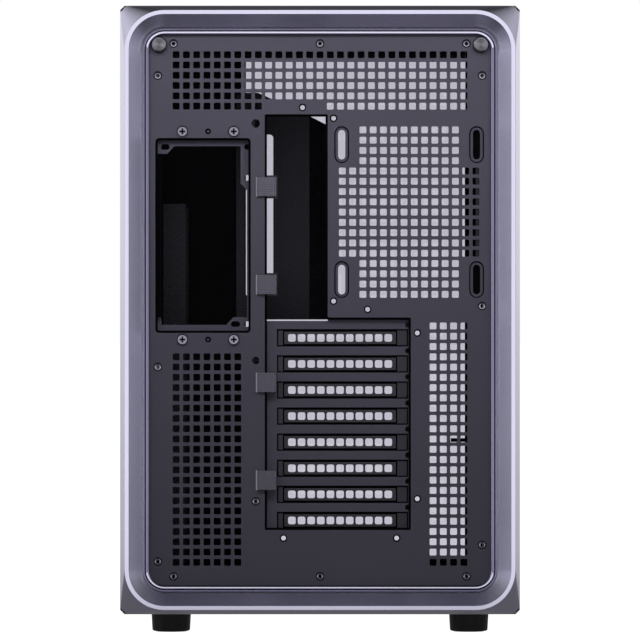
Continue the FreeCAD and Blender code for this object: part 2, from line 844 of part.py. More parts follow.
def make_cable_cover():
    """Upright sheet in front of the board, with a folded wing, a sloped head and a cable slot."""
    left = tray_x - cover_left
    fold = tray_x + cover_fold
    wing = fold + wing_width
    y = cable_cover_y
    foot = slot_top - cable_cover_foot
    top = board_top + cable_cover_top
    plan = [(left, y), (fold, y), (wing, y + wing_depth), (wing - sheet, y + wing_depth)]
    plan += [(fold - sheet, y + sheet), (left, y + sheet)]
    body = plate("xy", top - foot, polygon("xy", foot, plan))
    slope = [(tray_x, top), (wing + sheet, top - cable_cover_slope), (wing + sheet, top + sheet)]
    slope.append((tray_x, top + sheet))
    body = body.cut(plate("xz", wing_depth + 3 * sheet, polygon("xz", y - sheet, slope)))
    slot_low = foot + cable_slot_rise
    slot = rounded("xz", y - sheet, tray_x - cable_slot_back, tray_x + cable_slot_front,
                   slot_low, slot_low + cable_slot_height, standoff_radius)
    return body.cut(plate("xz", 3 * sheet, slot))


def make_side_fan_bracket():
    """Folded sheet beside the front: fan wall and the blind front of the cable chamber."""
    x = tray_x - fan_plane
    rear = cable_cover_y + sheet
    top = top_bracket_z - top_bracket_drop
    y = (rear + rail_front) / 2
    middle = (floor_z + top) / 2
    half = min(fan_window, rail_front - rear - 2 * bracket_bar) / 2
    holes = []
    for i in (-1, 0, 1):
        z = middle + i * side_fan_pitch
        holes.append(rounded("yz", x - sheet, y - half, y + half, z - half, z + half, fan_window_corner))
    wall = plate("yz", sheet, rectangle("yz", x - sheet, rear, rail_front, floor_z, top), holes)
    left = front_lip - front_wall_lap - half_width
    front = box(left, x, rail_front - sheet, rail_front, floor_z, top_bracket_z - fit)
    return fused([wall, front])


def make_drive_cage():
    """Open folded box that stands on the floor of the cable chamber."""
    left = drive_cage_inset - half_width
    right = left + drive_cage_width
    rear = cable_cover_y - drive_gap
    front = rear + drive_cage_depth
    top = floor_z + drive_cage_height
    shell = box(left, right, rear, front, floor_z, top)
    room = box(left + sheet, right, rear + sheet, front - sheet, floor_z, top - sheet)
    return shell.cut(room)


def make_rail(side, up):
    """Extruded edge profile, drawn from its outer corner: across, then away from the edge."""
    inner = glass_thickness + fit
    wall = rail_wall
    cut = edge_chamfer
    inner_cut = cut + wall * (math.sqrt(2) - 1)
    reach = rail_face + rail_ledge
    foot = rail_face + pane_ledge
    profile = [(0, rail_face), (0, cut), (cut, 0), (rail_face, 0), (rail_face, cover_sheet)]
    profile += [(reach, cover_sheet), (reach, ledge_drop), (rail_face - wall, ledge_drop)]
    profile += [(rail_face - wall, wall), (inner_cut, wall), (wall, inner_cut)]
    profile += [(wall, rail_face - wall), (inner + wall, rail_face - wall), (inner + wall, foot)]
    profile += [(inner, foot), (inner, rail_face)]
    edge = body_top if up > 0 else body_bottom
    points = [(side * (half_width - u), edge - up * v) for u, v in profile]
    rail = plate("xz", rail_front - rail_rear, polygon("xz", rail_rear, points))
    for y in stud_columns():
        z = edge - up * (rail_face + stud_drop)
        start = half_width - inner - wall
        hole = rod(Vector(side, 0, 0), side * start, y, z, stud_ball + fit, wall)
        rail = rail.cut(hole)
    return rail


def stud_columns():
    return (rail_rear + stud_inset, rail_front - stud_inset)


def stud_rows():
    drop = rail_face + stud_drop
    return (body_bottom + drop, body_top - drop)


def stud_places():
    return [(y, z) for y in stud_columns() for z in stud_rows()]


def ledge_face():
    """Inner face of the ledges behind the side panels, from the middle of the case."""
    return half_width - glass_thickness - fit - rail_wall


def make_studs(side, seat):
    """Snap studs of a side panel, from their seat on the panel inwards."""
    studs = []
    inward = Vector(-side, 0, 0)
    tip = ledge_face() - stud_reach
    for y, z in stud_places():
        shank = rod(inward, side * seat, y, z, stud_radius, seat - tip)
        root = Vector(side * tip, y, z)
        bulb = Part.makeCone(stud_ball, stud_radius / 2, stud_ball, root, inward)
        studs.append(fused([shank, bulb]))
    return Part.makeCompound(studs)


def make_stud_sockets():
    half = socket_width / 2
    sockets = []
    for side in (-1, 1):
        outer = side * ledge_face()
        inner = outer - side * (socket_depth + socket_wall)
        for y, z in stud_places():
            low = max(z - half, body_bottom + rail_face - rail_wall + fit) if z < fan_z else z - half
            high = z + half if z < fan_z else min(z + half, body_top - rail_face + rail_wall - fit)
            block = box(min(outer, inner), max(outer, inner), y - half, y + half, low, high)
            bore = rod(Vector(-side, 0, 0), outer, y, z, stud_ball + fit, socket_depth)
            sockets.append(block.cut(bore))
    return Part.makeCompound(sockets)


def side_span():
    """Depth and height of the side panels between the ring frames and the rails."""
    return (rail_rear + fit, rail_front - fit, body_bottom + rail_face + fit, body_top - rail_face - fit)


def make_glass_side_panel():
    pane = plate("yz", glass_thickness, rectangle("yz", pane_x, *side_span()))
    edges = [e for e in pane.Edges if e.BoundBox.XLength < round_off]
    return pane.makeChamfer(glass_edge, edges)


def louvres(plane, level, u_middle, v_first, v_last):
    """Two columns of long vents."""
    half = louvre_length / 2
    rise = louvre_width / 2
    wires = []
    for column in (-1, 1):
        u = u_middle + column * (half + louvre_bridge / 2)
        for v in stepped(v_first + louvre_margin, v_last - louvre_margin, louvre_pitch):
            wires.append(rectangle(plane, level, u - half, u + half, v - rise, v + rise))
    return wires


def make_steel_side_panel():
    """Shallow steel pan with long vents beside the supply and the side fans."""
    rear, front, low, high = side_span()
    x = -half_width
    face = plate("yz", sheet, rectangle("yz", x, rear, front, low, high),
                 louvres("yz", x, 0, low, high))
    rim = plate("yz", side_fold, rectangle("yz", x, rear, front, low, high),
                [rectangle("yz", x, rear + sheet, front - sheet, low + sheet, high - sheet)])
    return fused([face, rim])


def plate_reach():
    """Half the width of the top and bottom plates between the rails."""
    return half_width - rail_face - fit


def make_top_cover():
    reach = plate_reach()
    z = body_top - cover_sheet
    rear = rail_rear + fit
    front = strip_rear - fit
    return plate("xy", cover_sheet, rectangle("xy", z, -reach, reach, rear, front),
                 louvres("xy", z, 0, rear, front))


def make_filter(z, rear, front):
    """Mesh sheet with a thicker border."""
    reach = half_width - rail_face - rail_ledge - fit
    mesh = plate("xy", filter_mesh, rectangle("xy", z, -reach, reach, rear, front))
    hole = rectangle("xy", z, filter_border - reach, reach - filter_border,
                     rear + filter_border, front - filter_border)
    border = plate("xy", filter_thickness, rectangle("xy", z, -reach, reach, rear, front), [hole])
    return fused([mesh, border])


def make_top_filter():
    z = body_top - cover_sheet - filter_thickness
    return make_filter(z, rail_rear + flange_fold, strip_rear - fit)


def make_bottom_filter():
    return make_filter(body_bottom + cover_sheet, rail_rear + flange_fold, rail_front - flange_fold)


def make_top_fan_bracket():
    """Channel under the top cover, with three fan windows over the main chamber."""
    reach = half_width - bracket_inset
    rear = rail_rear + fit
    front = rail_front - fit
    x = (tray_x + half_width) / 2
    half = fan_window / 2
    holes = []
    for i in (-1, 0, 1):
        y = (rear + front) / 2 + i * side_fan_pitch
        holes.append(rounded("xy", top_bracket_z, x - half, x + half, y - half, y + half, fan_window_corner))
    web = plate("xy", sheet, rectangle("xy", top_bracket_z, -reach, reach, rear, front), holes)
    pieces = [web]
    for side in (-1, 1):
        inner = side * (reach - sheet)
        pieces.append(box(min(inner, side * reach), max(inner, side * reach), rear, front,
                          top_bracket_z, body_top - ledge_drop))
    return fused(pieces)


def make_floor_panel():
    """Floor of the two chambers: a channel on the bottom rails, open over the bottom filter."""
    reach = half_width - bracket_inset
    rear = rail_rear + fit
    front = rail_front - fit
    x = (tray_x + half_width) / 2
    z = floor_z - sheet
    half = min(floor_window, reach - tray_x) / 2
    depth = floor_window_depth / 2
    window = rounded("xy", z, x - half, x + half, -depth, depth, window_corner)
    web = plate("xy", sheet, rectangle("xy", z, -reach, reach, rear, front), [window])
    pieces = [web]
    for side in (-1, 1):
        inner = side * (reach - sheet)
        pieces.append(box(min(inner, side * reach), max(inner, side * reach), rear, front,
                          body_bottom + ledge_drop, floor_z))
    return fused(pieces)


def make_bottom_panel():
    reach = plate_reach()
    rear = rail_rear + fit
    front = rail_front - fit
    clear = foot_end_inset + foot_radius - frame_depth - louvre_margin + louvre_width
    return plate("xy", cover_sheet, rectangle("xy", body_bottom, -reach, reach, rear, front),
                 louvres("xy", body_bottom, 0, rail_rear + clear, rail_front - clear))


def make_front_pillar():
    """Folded post beside the front opening, with a small cable hook."""
    inner = half_width - pillar_inset
    outer = half_width - bracket_inset - sheet
    rear = rail_front - pillar_depth
    post = box(inner, outer, rear, rail_front, floor_z, top_bracket_z)
    post = post.cut(box(inner + sheet, outer, rear, rail_front - sheet, floor_z, top_bracket_z))
    z = body_bottom + hook_height
    hook = box(inner - hook_length, inner, rear, rear + pillar_depth / 2, z, z + hook_thickness)
    return fused([post, hook])


def make_io_strip():
    """Port strip at the front of the top, with posts for the port board under it."""
    reach = plate_reach()
    z = body_top - cover_sheet
    front = rail_front - fit
    y = strip_middle()
    holes = [circle("xy", z, button_x, y, button_radius + fit)]
    holes.append(circle("xy", z, jack_x, y, jack_radius + fit))
    sizes = [(x, usb_a_size) for x in usb_a_x] + [(usb_c_x, usb_c_size)]
    for x, (length, width) in sizes:
        half_length = length / 2 + fit
        half = width / 2 + fit
        holes.append(rectangle("xy", z, x - half_length, x + half_length, y - half, y + half))
    strip = plate("xy", cover_sheet, rectangle("xy", z, -reach, reach, strip_rear, front), holes)
    pieces = [strip]
    for x in io_post_places():
        pieces.append(rod(Vector(0, 0, -1), x, y, z, post_radius, z - io_board_top()))
    return fused(pieces)


def io_board_middle():
    return (button_x + max(usb_a_x)) / 2


def io_post_places():
    middle = io_board_middle()
    half = io_board_length / 2 - post_radius - fit
    return (middle - half, middle + half)


def strip_middle():
    return (strip_rear + rail_front - fit) / 2


def io_board_top():
    """The port board lies just over the fan bracket."""
    return top_bracket_z + sheet + fit + board_sheet


def make_io_board():
    z = io_board_top() - board_sheet
    middle = io_board_middle()
    half = io_board_length / 2
    y = strip_middle()
    reach = io_board_width / 2
    return box(middle - half, middle + half, y - reach, y + reach, z, z + board_sheet)


def make_power_button():
    """Round cap with a collar that stops it under the strip."""
    y = strip_middle()
    seat = body_top - cover_sheet
    cap = rod(Vector(0, 0, 1), button_x, y, seat, button_radius, cover_sheet + button_rise)
    rim = [e for e in cap.Edges if e.BoundBox.ZMin > body_top + round_off]
    cap = cap.makeChamfer(button_edge, rim)
    collar = rod(Vector(0, 0, -1), button_x, y, seat, button_radius + 4 * fit, button_collar)
    return fused([cap, collar])


def make_power_switch():
    y = strip_middle()
    half = switch_size / 2
    top = body_top - cover_sheet - button_collar - button_travel - fit
    body = box(button_x - half, button_x + half, y - half, y + half, io_board_top(), top - sheet)
    return fused([body, rod(Vector(0, 0, 1), button_x, y, top - sheet, half / 2, sheet)])


def port_shell(x, size):
    """Upright connector shell with an open mouth and its tongue."""
    length, width = size
    y = strip_middle()
    low = io_board_top()
    shell = box(x - length / 2, x + length / 2, y - width / 2, y + width / 2, low, body_top)
    wall = usb_a_wall
    mouth = box(x - length / 2 + wall, x + length / 2 - wall, y - width / 2 + wall, y + width / 2 - wall,
                low + 2 * wall, body_top)
    shell = shell.cut(mouth)
    tongue = box(x - length / 2 + 2 * wall, x + length / 2 - 2 * wall, y - wall / 2, y + wall / 2,
                 low + wall, body_top - 2 * wall)
    return fused([shell, tongue])


def make_usb_a_ports():
    return Part.makeCompound([port_shell(x, usb_a_size) for x in usb_a_x])


def make_audio_jack():
    y = strip_middle()
    height = body_top - io_board_top()
    barrel = rod(Vector(0, 0, 1), jack_x, y, io_board_top(), jack_radius, height)
    return barrel.cut(rod(Vector(0, 0, 1), jack_x, y, io_board_top() + sheet, jack_bore, height))


def foot_places():
    x = half_width - foot_inset
    y = case_depth / 2 - foot_end_inset
    return {"rear_left": (-x, -y), "rear_right": (x, -y), "front_left": (-x, y), "front_right": (x, y)}


def make_foot(x, y):
    """Turned foot with a slight taper, an eased lower edge and a recess for its pad."""
    low = pad_proud
    base = foot_radius - foot_taper
    recess = pad_radius + fit
    roof = pad_thickness
    profile = [(recess, low), (base - foot_edge, low), (base, low + foot_edge)]
    profile += [(foot_radius, foot_height), (0, foot_height), (0, roof), (recess, roof)]
    foot = Part.Face(polygon("xz", 0, profile)).revolve(Vector(0, 0, 0), Vector(0, 0, 1), 360)
    foot.translate(Vector(x, y, 0))
    return foot


def make_foot_pads():
    pads = [rod(Vector(0, 0, 1), x, y, 0, pad_radius, pad_thickness) for x, y in foot_places().values()]
    return Part.makeCompound(pads)


def all_pieces():
    pieces = {
        "rear_frame": make_rear_frame(),
        "rear_panel": make_rear_panel(),
        "rear_flange": make_rear_flange(),
        "rivets": make_rivets(),
        "thumb_screws": make_thumb_screws(),
        "supply_bracket": make_supply_bracket(),
        "supply_bracket_screws": make_supply_bracket_screws(),
        "slot_plate": make_slot_plate(),
        "slot_cover_screws": make_slot_cover_screws(),
        "board_tray": make_board_tray(),
        "standoffs": make_standoffs(),
        "cable_cover": make_cable_cover(),
        "side_fan_bracket": make_side_fan_bracket(),
        "drive_cage": make_drive_cage(),
        "front_frame": make_front_frame(),
        "front_glass": make_front_glass(),
        "front_pillar": make_front_pillar(),
        "top_rail_glass_side": make_rail(1, 1),
        "top_rail_steel_side": make_rail(-1, 1),
        "bottom_rail_glass_side": make_rail(1, -1),
        "bottom_rail_steel_side": make_rail(-1, -1),
        "top_cover": make_top_cover(),
        "top_filter": make_top_filter(),
        "top_fan_bracket": make_top_fan_bracket(),
        "floor_panel": make_floor_panel(),
        "bottom_panel": make_bottom_panel(),
        "bottom_filter": make_bottom_filter(),
        "glass_side_panel": make_glass_side_panel(),
        "glass_panel_studs": make_studs(1, pane_x),
        "steel_side_panel": make_steel_side_panel(),
        "steel_panel_studs": make_studs(-1, half_width - sheet),
        "stud_sockets": make_stud_sockets(),
        "io_strip": make_io_strip(),
        "io_board": make_io_board(),
        "power_button": make_power_button(),
        "power_switch": make_power_switch(),
        "usb_a_ports": make_usb_a_ports(),
        "usb_c_port": port_shell(usb_c_x, usb_c_size),
        "audio_jack": make_audio_jack(),
        "foot_pads": make_foot_pads(),
    }
    for number, z in enumerate(slot_heights(), 1):
        pieces[f"slot_cover_{number}"] = make_slot_cover(z)
    for number, z in enumerate(strap_places(), 1):
        pieces[f"cable_strap_{number}"] = make_cable_strap(z)
    for place, (x, y) in foot_places().items():
        pieces[f"foot_{place}"] = make_foot(x, y)
    return pieces


os.makedirs("parts", exist_ok=True)
for name, shape in all_pieces().items():
    shape.exportStep(f"parts/{name}.step")
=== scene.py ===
import math

import bmesh
import bpy
from mathutils import Matrix, Vector


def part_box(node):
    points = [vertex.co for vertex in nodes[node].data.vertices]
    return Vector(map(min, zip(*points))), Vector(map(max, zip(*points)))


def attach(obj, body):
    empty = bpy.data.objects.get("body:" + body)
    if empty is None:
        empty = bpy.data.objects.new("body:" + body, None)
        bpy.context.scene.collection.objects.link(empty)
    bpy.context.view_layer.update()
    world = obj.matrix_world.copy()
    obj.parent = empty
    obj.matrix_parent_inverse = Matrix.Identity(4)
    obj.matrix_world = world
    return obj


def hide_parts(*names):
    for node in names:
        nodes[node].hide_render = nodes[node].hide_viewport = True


# A two-chamber tower computer case, seen square on from the rear.
# Sizes are in millimetres and are turned to Blender's metres where a mesh is made.

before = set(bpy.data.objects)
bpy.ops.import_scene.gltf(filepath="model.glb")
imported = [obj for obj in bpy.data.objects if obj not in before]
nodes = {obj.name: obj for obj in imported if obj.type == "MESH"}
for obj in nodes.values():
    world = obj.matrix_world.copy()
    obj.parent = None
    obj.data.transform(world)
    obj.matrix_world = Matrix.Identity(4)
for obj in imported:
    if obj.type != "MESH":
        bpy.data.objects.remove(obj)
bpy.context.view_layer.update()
MM = 0.001

# Camera
image_width = 640            # pixels
photo_scale = 0.7784         # millimetres of the rear panel to a pixel
photo_floor_row = 633.4      # pixel row of the floor under the rear feet
camera_distance = 5200.0     # from the rear panel
sensor = 36.0

# Axes and tolerances
X, Y, Z = range(3)
REARWARD = Vector((0, -1, 0))
cad_weld = 0.001             # points of a CAD mesh nearer than this are one
piece_weld = 0.002
flat_gap = 0.01              # a face this near to a level lies in it
sharp_angle = 32             # degrees; faces that meet more steeply keep a sharp edge
bevel_angle = 35
straight_angle = 150         # corners opener than this aren't rounded
corner_share = 0.45          # of a side that a rounded corner may take up

# Punched sheet
sheet_edge = 0.18            # rounding that the powder coat leaves on a cut edge
vent_corner = 0.9
small_vent = 8.0             # square cut-outs up to this size are vents
large_opening = 80.0         # cut-outs over this size have a rolled edge
opening_corner = 1.2
round_points = 8             # outlines of more points than this have round stretches
lip_sheet = 0.6              # rolled edge inside the large openings, painted black as shade
lip_roll = ((0.0, 0.0), (0.15, 0.08), (0.45, 0.5), (1.19, 1.69), (1.7, 2.6))   # inset and depth of its roll
land_margin = 2.9            # pressed land round a fan slot
land_depth = 1.3
land_wall = 0.9              # width of the step round the land
land_edge = 0.15
land_round = 0.1
dimple_radius = 2.9          # countersink round a tapped hole, painted black as shade
dimple_depth = 3.0
dimple_edge = 0.1
dimple_lean = 0.12
moat_width = 0.75            # ring pressed round a fastener's head, painted black as its shadow
moat_depth = 1.1
moat_edge = 0.08
moat_lean = 0.15
island_inset = 0.3           # island inside the moat, from the head's edge
island_sink = 0.05
blind_rim = 2.3              # ring of painted shade round the bracket's blind holes, and the bracket seen in its middle
blind_radius = 1.1
blind_rings = ((blind_rim, 0.05), (blind_rim, 0.5), (blind_radius, 0.6))   # radius and depth

# Folded returns behind the panel, painted black as the shade seen through the vents and openings: left,
# right, low and high edge, depth behind the panel's rear face
return_sheet = 0.8
return_edge = 0.1
panel_return = 3.4
bracket_return = 7.6
returns = (
    (112.8, 126.5, 50.0, 400.0, panel_return),       # right side, behind the fan slots
    (84.0, 112.8, 50.0, 59.0, panel_return),         # last row of vents
    (-114.5, 112.8, 445.0, 453.0, panel_return),     # first row of vents
    (-128.6, -123.0, 246.0, 373.5, panel_return),    # left edge of the supply opening
    (-60.5, -53.0, 374.0, 383.0, bracket_return),    # upper right slot of the supply bracket
)

# Slot covers
cover_corner = 0.5
cover_vent_corner = 1.4
boss_slope = 0.5             # foot of the boss
boss_corner = 0.8
trench_corner = 1.0
trench_depth = 0.3           # below the strip
slot_sheet = 1.2             # slot plate
window_shadow_ring = ((0.02, 1.0), (0.1, 0.9), (0.1, 0.06), (1.0, 0.06), (1.0, 0.0))   # inset and height of a ring of painted shadow along the slot plate's window edge

# Fasteners
# A rivet's dome is in shares of its head's radius and rise, and ends at the bore.
rivet_dome = ((1.0, 0.0), (1.0, 0.4), (0.93, 0.72), (0.76, 0.92), (0.64, 1.0), (0.55, 0.9), (0.5, 0.6))
rivet_wall = 0.25
rivet_reach = 2.5            # behind the panel
rivet_sides = 32
knurl_depth = 0.22
knurl_sides = 96
grip_relief = 0.5            # chamfer under a thumb screw's grip
face_chamfer = 0.6           # chamfer round its face
face_inset = 0.75
face_sink = 0.05
face_rings = 9               # turned rings of the face
face_groove = 0.13
thumb_shank = 2.0
thumb_shank_sides = 24
recess_arm = 2.3             # cross recess: half length and half width of an arm
recess_half = 0.65
recess_depth = 1.6
recess_wall = 0.4            # head left round the recess's floor
head_gap = 0.3               # under the edge of a pan head
head_edge = 0.2
head_sides = 36
screw_shank = 1.6
screw_shank_sides = 20

# Straps and feet
strap_edge = 0.35
patch_gap = 0.2               # dark patch behind the loop, painted shade that closes the gaps round the strap
patch_sheet = 0.8
patch_edge = 0.15
patch_corner = 1.0
patch_left, patch_right, patch_rise = 2.0, 1.0, 1.5   # its margins past the loop
glint_far, glint_near = 1.15, 0.05   # painted highlight: a light strip in the slot beside the strap
glint_rise = 0.2
glint_sink = 0.15
glint_sheet = 0.6
glint_edge = 0.05
foot_taper = 0.7
foot_round = 1.6
foot_round_steps = 5
foot_sides = 72
pad_radius = 12.3            # recess for the pad
pad_recess = 1.6

# Bead of the rear frame
bead_span = (-224.05, -221.95)   # rear and front end
bead_facing = -0.03          # faces that look further forward than this aren't part of it
groove_lean = (0.15, 0.75)   # lean of the outer flank's foot, where the groove runs and is painted black as shadow
crest_lean = 0.3             # most lean of the crest on the level stretches, left in the plain finish as the lit line beside the painted shade


def row_mm(node):
    """Lowest and highest corner of a CAD node, in millimetres."""
    low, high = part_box(node)
    return low / MM, high / MM


# Colours and shader nodes


def linear(code):
    """Linear colour of an sRGB hex value."""
    channels = [int(code[i:i + 2], 16) / 255 for i in (1, 3, 5)]
    return [c / 12.92 if c <= 0.04045 else ((c + 0.055) / 1.055) ** 2.4 for c in channels] + [1.0]


def add(tree, kind, settings=None, links=None):
    """Adds a node: settings go on its properties or sockets, links come from other nodes' sockets."""
    node = tree.nodes.new(kind)
    for key, value in (settings or {}).items():
        if isinstance(key, str) and hasattr(node, key):
            setattr(node, key, value)
        else:
            node.inputs[key].default_value = value
    for key, source in (links or {}).items():
        tree.links.new(source, node.inputs[key])
    return node


def new_finish(name, settings):
    """A material with one Principled shader; returns it with its node tree, shader and object coordinates."""
    material = bpy.data.materials.new(name)
    material.use_nodes = True
    tree = material.node_tree
    tree.nodes.clear()
    shader = add(tree, "ShaderNodeBsdfPrincipled", settings)
    add(tree, "ShaderNodeOutputMaterial", links={"Surface": shader.outputs[0]})
    place = add(tree, "ShaderNodeTexCoord").outputs["Object"]
    return material, tree, shader, place


def per_metre(size):
    """Texture scale whose features are about this many millimetres across."""
    return 1 / (size * MM)


half_waves = 6.3             # half waves of a wave texture over one unit at scale 1


def bead_blasted_anodised_aluminium(name, dark, light):
    # Blasted before the dye, so it is a soft lavender-silver metal with no brush lines and a faint sparkle.
    material, tree, shader, place = new_finish(name, {"Metallic": 1.0})
    # The grit is about 0.1 mm, too fine for the render, so it is drawn at 0.9 mm.
    grit = add(tree, "ShaderNodeTexNoise", {"Scale": per_metre(0.9), "Detail": 3.0}, {"Vector": place})
    cloud = add(tree, "ShaderNodeTexNoise", {"Scale": per_metre(70), "Detail": 2.0}, {"Vector": place})
    tone = add(tree, "ShaderNodeMix", {"data_type": "RGBA", 6: linear(dark), 7: linear(light)},
               {0: cloud.outputs["Fac"]})
    speck = add(tree, "ShaderNodeMix", {"data_type": "RGBA", "blend_type": "OVERLAY", 0: 0.10},
                {6: tone.outputs[2], 7: grit.outputs["Fac"]})
    tree.links.new(speck.outputs[2], shader.inputs["Base Color"])
    rough = add(tree, "ShaderNodeMapRange", {"To Min": 0.2, "To Max": 0.27}, {"Value": grit.outputs["Fac"]})
    tree.links.new(rough.outputs[0], shader.inputs["Roughness"])
    bump = add(tree, "ShaderNodeBump", {"Strength": 0.06, "Distance": 0.05 * MM},
               {"Height": grit.outputs["Fac"]})
    tree.links.new(bump.outputs[0], shader.inputs["Normal"])
    return material


def powder_coated_steel(name, dark, light, roughness, gloss=0.35):
    # Baked powder: an even dark grey with a fine pebbled skin; its mica gives the sheen a cool cast.
    material, tree, shader, place = new_finish(name, {"IOR": 1.5, "Specular IOR Level": gloss,
                                                      "Specular Tint": linear("#dddbf2")})
    # The pebbles are about 0.3 mm; they are drawn at 1.1 mm to show.
    pebble = add(tree, "ShaderNodeTexNoise", {"Scale": per_metre(1.1), "Detail": 4.0, "Roughness": 0.6},
                 {"Vector": place})
    cloud = add(tree, "ShaderNodeTexNoise", {"Scale": per_metre(90), "Detail": 2.0}, {"Vector": place})
    tone = add(tree, "ShaderNodeMix", {"data_type": "RGBA", 6: linear(dark), 7: linear(light)},
               {0: cloud.outputs["Fac"]})
    speck = add(tree, "ShaderNodeMix", {"data_type": "RGBA", "blend_type": "OVERLAY", 0: 0.22},
                {6: tone.outputs[2], 7: pebble.outputs["Fac"]})
    tree.links.new(speck.outputs[2], shader.inputs["Base Color"])
    rough = add(tree, "ShaderNodeMapRange", {"To Min": roughness - 0.08, "To Max": roughness + 0.08},
                {"Value": pebble.outputs["Fac"]})
    tree.links.new(rough.outputs[0], shader.inputs["Roughness"])
    bump = add(tree, "ShaderNodeBump", {"Strength": 0.12, "Distance": 0.12 * MM},
               {"Height": pebble.outputs["Fac"]})
    tree.links.new(bump.outputs[0], shader.inputs["Normal"])
    return material


def turned_steel(name, colour, roughness):
    # Faced on a lathe: fine rings round the axis pull each highlight out into a fan.
    material, tree, shader, place = new_finish(name, {"Metallic": 1.0, "Anisotropic": 0.3,
                                                      "Anisotropic Rotation": 0.25})
    tangent = add(tree, "ShaderNodeTangent", {"direction_type": "RADIAL", "axis": "Y"})
    tree.links.new(tangent.outputs[0], shader.inputs["Tangent"])
    # Tool marks are about 0.1 mm apart; they are drawn at 0.5 mm.
    marks = add(tree, "ShaderNodeTexNoise", {"Scale": per_metre(0.5), "Detail": 2.0}, {"Vector": place})
    tone = add(tree, "ShaderNodeMix",
               {"data_type": "RGBA", "blend_type": "OVERLAY", 0: 0.2, 6: linear(colour)},
               {7: marks.outputs["Fac"]})
    tree.links.new(tone.outputs[2], shader.inputs["Base Color"])
    rough = add(tree, "ShaderNodeMapRange", {"To Min": roughness - 0.05, "To Max": roughness + 0.08},
                {"Value": marks.outputs["Fac"]})
    tree.links.new(rough.outputs[0], shader.inputs["Roughness"])
    return material


def plated_fastener(name, colour, metallic, roughness):
    # Barrel-plated small parts: satin, with tiny dings from the barrel.
    material, tree, shader, place = new_finish(name, {"Metallic": metallic})
    dings = add(tree, "ShaderNodeTexNoise", {"Scale": per_metre(1.2), "Detail": 3.0}, {"Vector": place})
    tone = add(tree, "ShaderNodeMix",
               {"data_type": "RGBA", "blend_type": "OVERLAY", 0: 0.25, 6: linear(colour)},
               {7: dings.outputs["Fac"]})
    tree.links.new(tone.outputs[2], shader.inputs["Base Color"])
    rough = add(tree, "ShaderNodeMapRange", {"To Min": roughness - 0.06, "To Max": roughness + 0.1},
                {"Value": dings.outputs["Fac"]})
    tree.links.new(rough.outputs[0], shader.inputs["Roughness"])
    return material


def grey_tinted_glass():
    # Float glass dyed in the melt: clear and level, it only takes the white behind it down to a pale grey.
    material, tree, shader, place = new_finish("grey_tinted_glass", {"Transmission Weight": 1.0, "IOR": 1.5})
    # Float glass keeps waves of about 150 mm; they shift its tint by a hair.
    waves = add(tree, "ShaderNodeTexNoise", {"Scale": per_metre(150), "Detail": 1.0}, {"Vector": place})
    tone = add(tree, "ShaderNodeMix", {"data_type": "RGBA", 6: linear("#bfbdc9"), 7: linear("#c2c0cc")},
               {0: waves.outputs["Fac"]})
    tree.links.new(tone.outputs[2], shader.inputs["Base Color"])
    rough = add(tree, "ShaderNodeMapRange", {"To Min": 0.0, "To Max": 0.012}, {"Value": waves.outputs["Fac"]})
    tree.links.new(rough.outputs[0], shader.inputs["Roughness"])
    return material


def woven_strap():
    # Plain-woven polyester webbing: small blocks of thread over and under, dull with a slight sheen.
    material, tree, shader, place = new_finish("woven_polyester_strap", {"Sheen Weight": 0.25,
                                                                         "Sheen Roughness": 0.5})
    # Threads are 0.5 mm apart; they are drawn at 0.9 mm so that the weave shows.
    scale = per_metre(0.9) / half_waves
    across, along = [add(tree, "ShaderNodeTexWave",
                         {"bands_direction": way, "Scale": scale, "Distortion": 0.4}, {"Vector": place})
                     for way in ("X", "Z")]
    weave = add(tree, "ShaderNodeMath", {"operation": "MULTIPLY"},
                {0: across.outputs["Fac"], 1: along.outputs["Fac"]})
    fuzz = add(tree, "ShaderNodeTexNoise", {"Scale": per_metre(2.5), "Detail": 4.0}, {"Vector": place})
    height = add(tree, "ShaderNodeMath", {"operation": "MULTIPLY_ADD", 1: 0.5},
                 {0: fuzz.outputs["Fac"], 2: weave.outputs[0]})
    tone = add(tree, "ShaderNodeMix", {"data_type": "RGBA", 6: linear("#33333c"), 7: linear("#4f4e5b")},
               {0: height.outputs[0]})
    tree.links.new(tone.outputs[2], shader.inputs["Base Color"])
    rough = add(tree, "ShaderNodeMapRange", {"To Min": 0.85, "To Max": 0.7}, {"Value": weave.outputs[0]})
    tree.links.new(rough.outputs[0], shader.inputs["Roughness"])
    bump = add(tree, "ShaderNodeBump", {"Strength": 0.5, "Distance": 0.25 * MM},
               {"Height": height.outputs[0]})
    tree.links.new(bump.outputs[0], shader.inputs["Normal"])
    return material


def moulded_plastic(name, colour, roughness, grain, depth):
    # Injection moulded: the tool's spark-eroded grain shows as a fine even stipple.
    material, tree, shader, place = new_finish(name, {"IOR": 1.5})
    stipple = add(tree, "ShaderNodeTexNoise", {"Scale": per_metre(grain), "Detail": 3.0}, {"Vector": place})
    tone = add(tree, "ShaderNodeMix",
               {"data_type": "RGBA", "blend_type": "OVERLAY", 0: 0.2, 6: linear(colour)},
               {7: stipple.outputs["Fac"]})
    tree.links.new(tone.outputs[2], shader.inputs["Base Color"])
    rough = add(tree, "ShaderNodeMapRange", {"To Min": roughness - 0.05, "To Max": roughness + 0.08},
                {"Value": stipple.outputs["Fac"]})
    tree.links.new(rough.outputs[0], shader.inputs["Roughness"])
    bump = add(tree, "ShaderNodeBump", {"Strength": depth, "Distance": 0.1 * MM},
               {"Height": stipple.outputs["Fac"]})
    tree.links.new(bump.outputs[0], shader.inputs["Normal"])
    return material


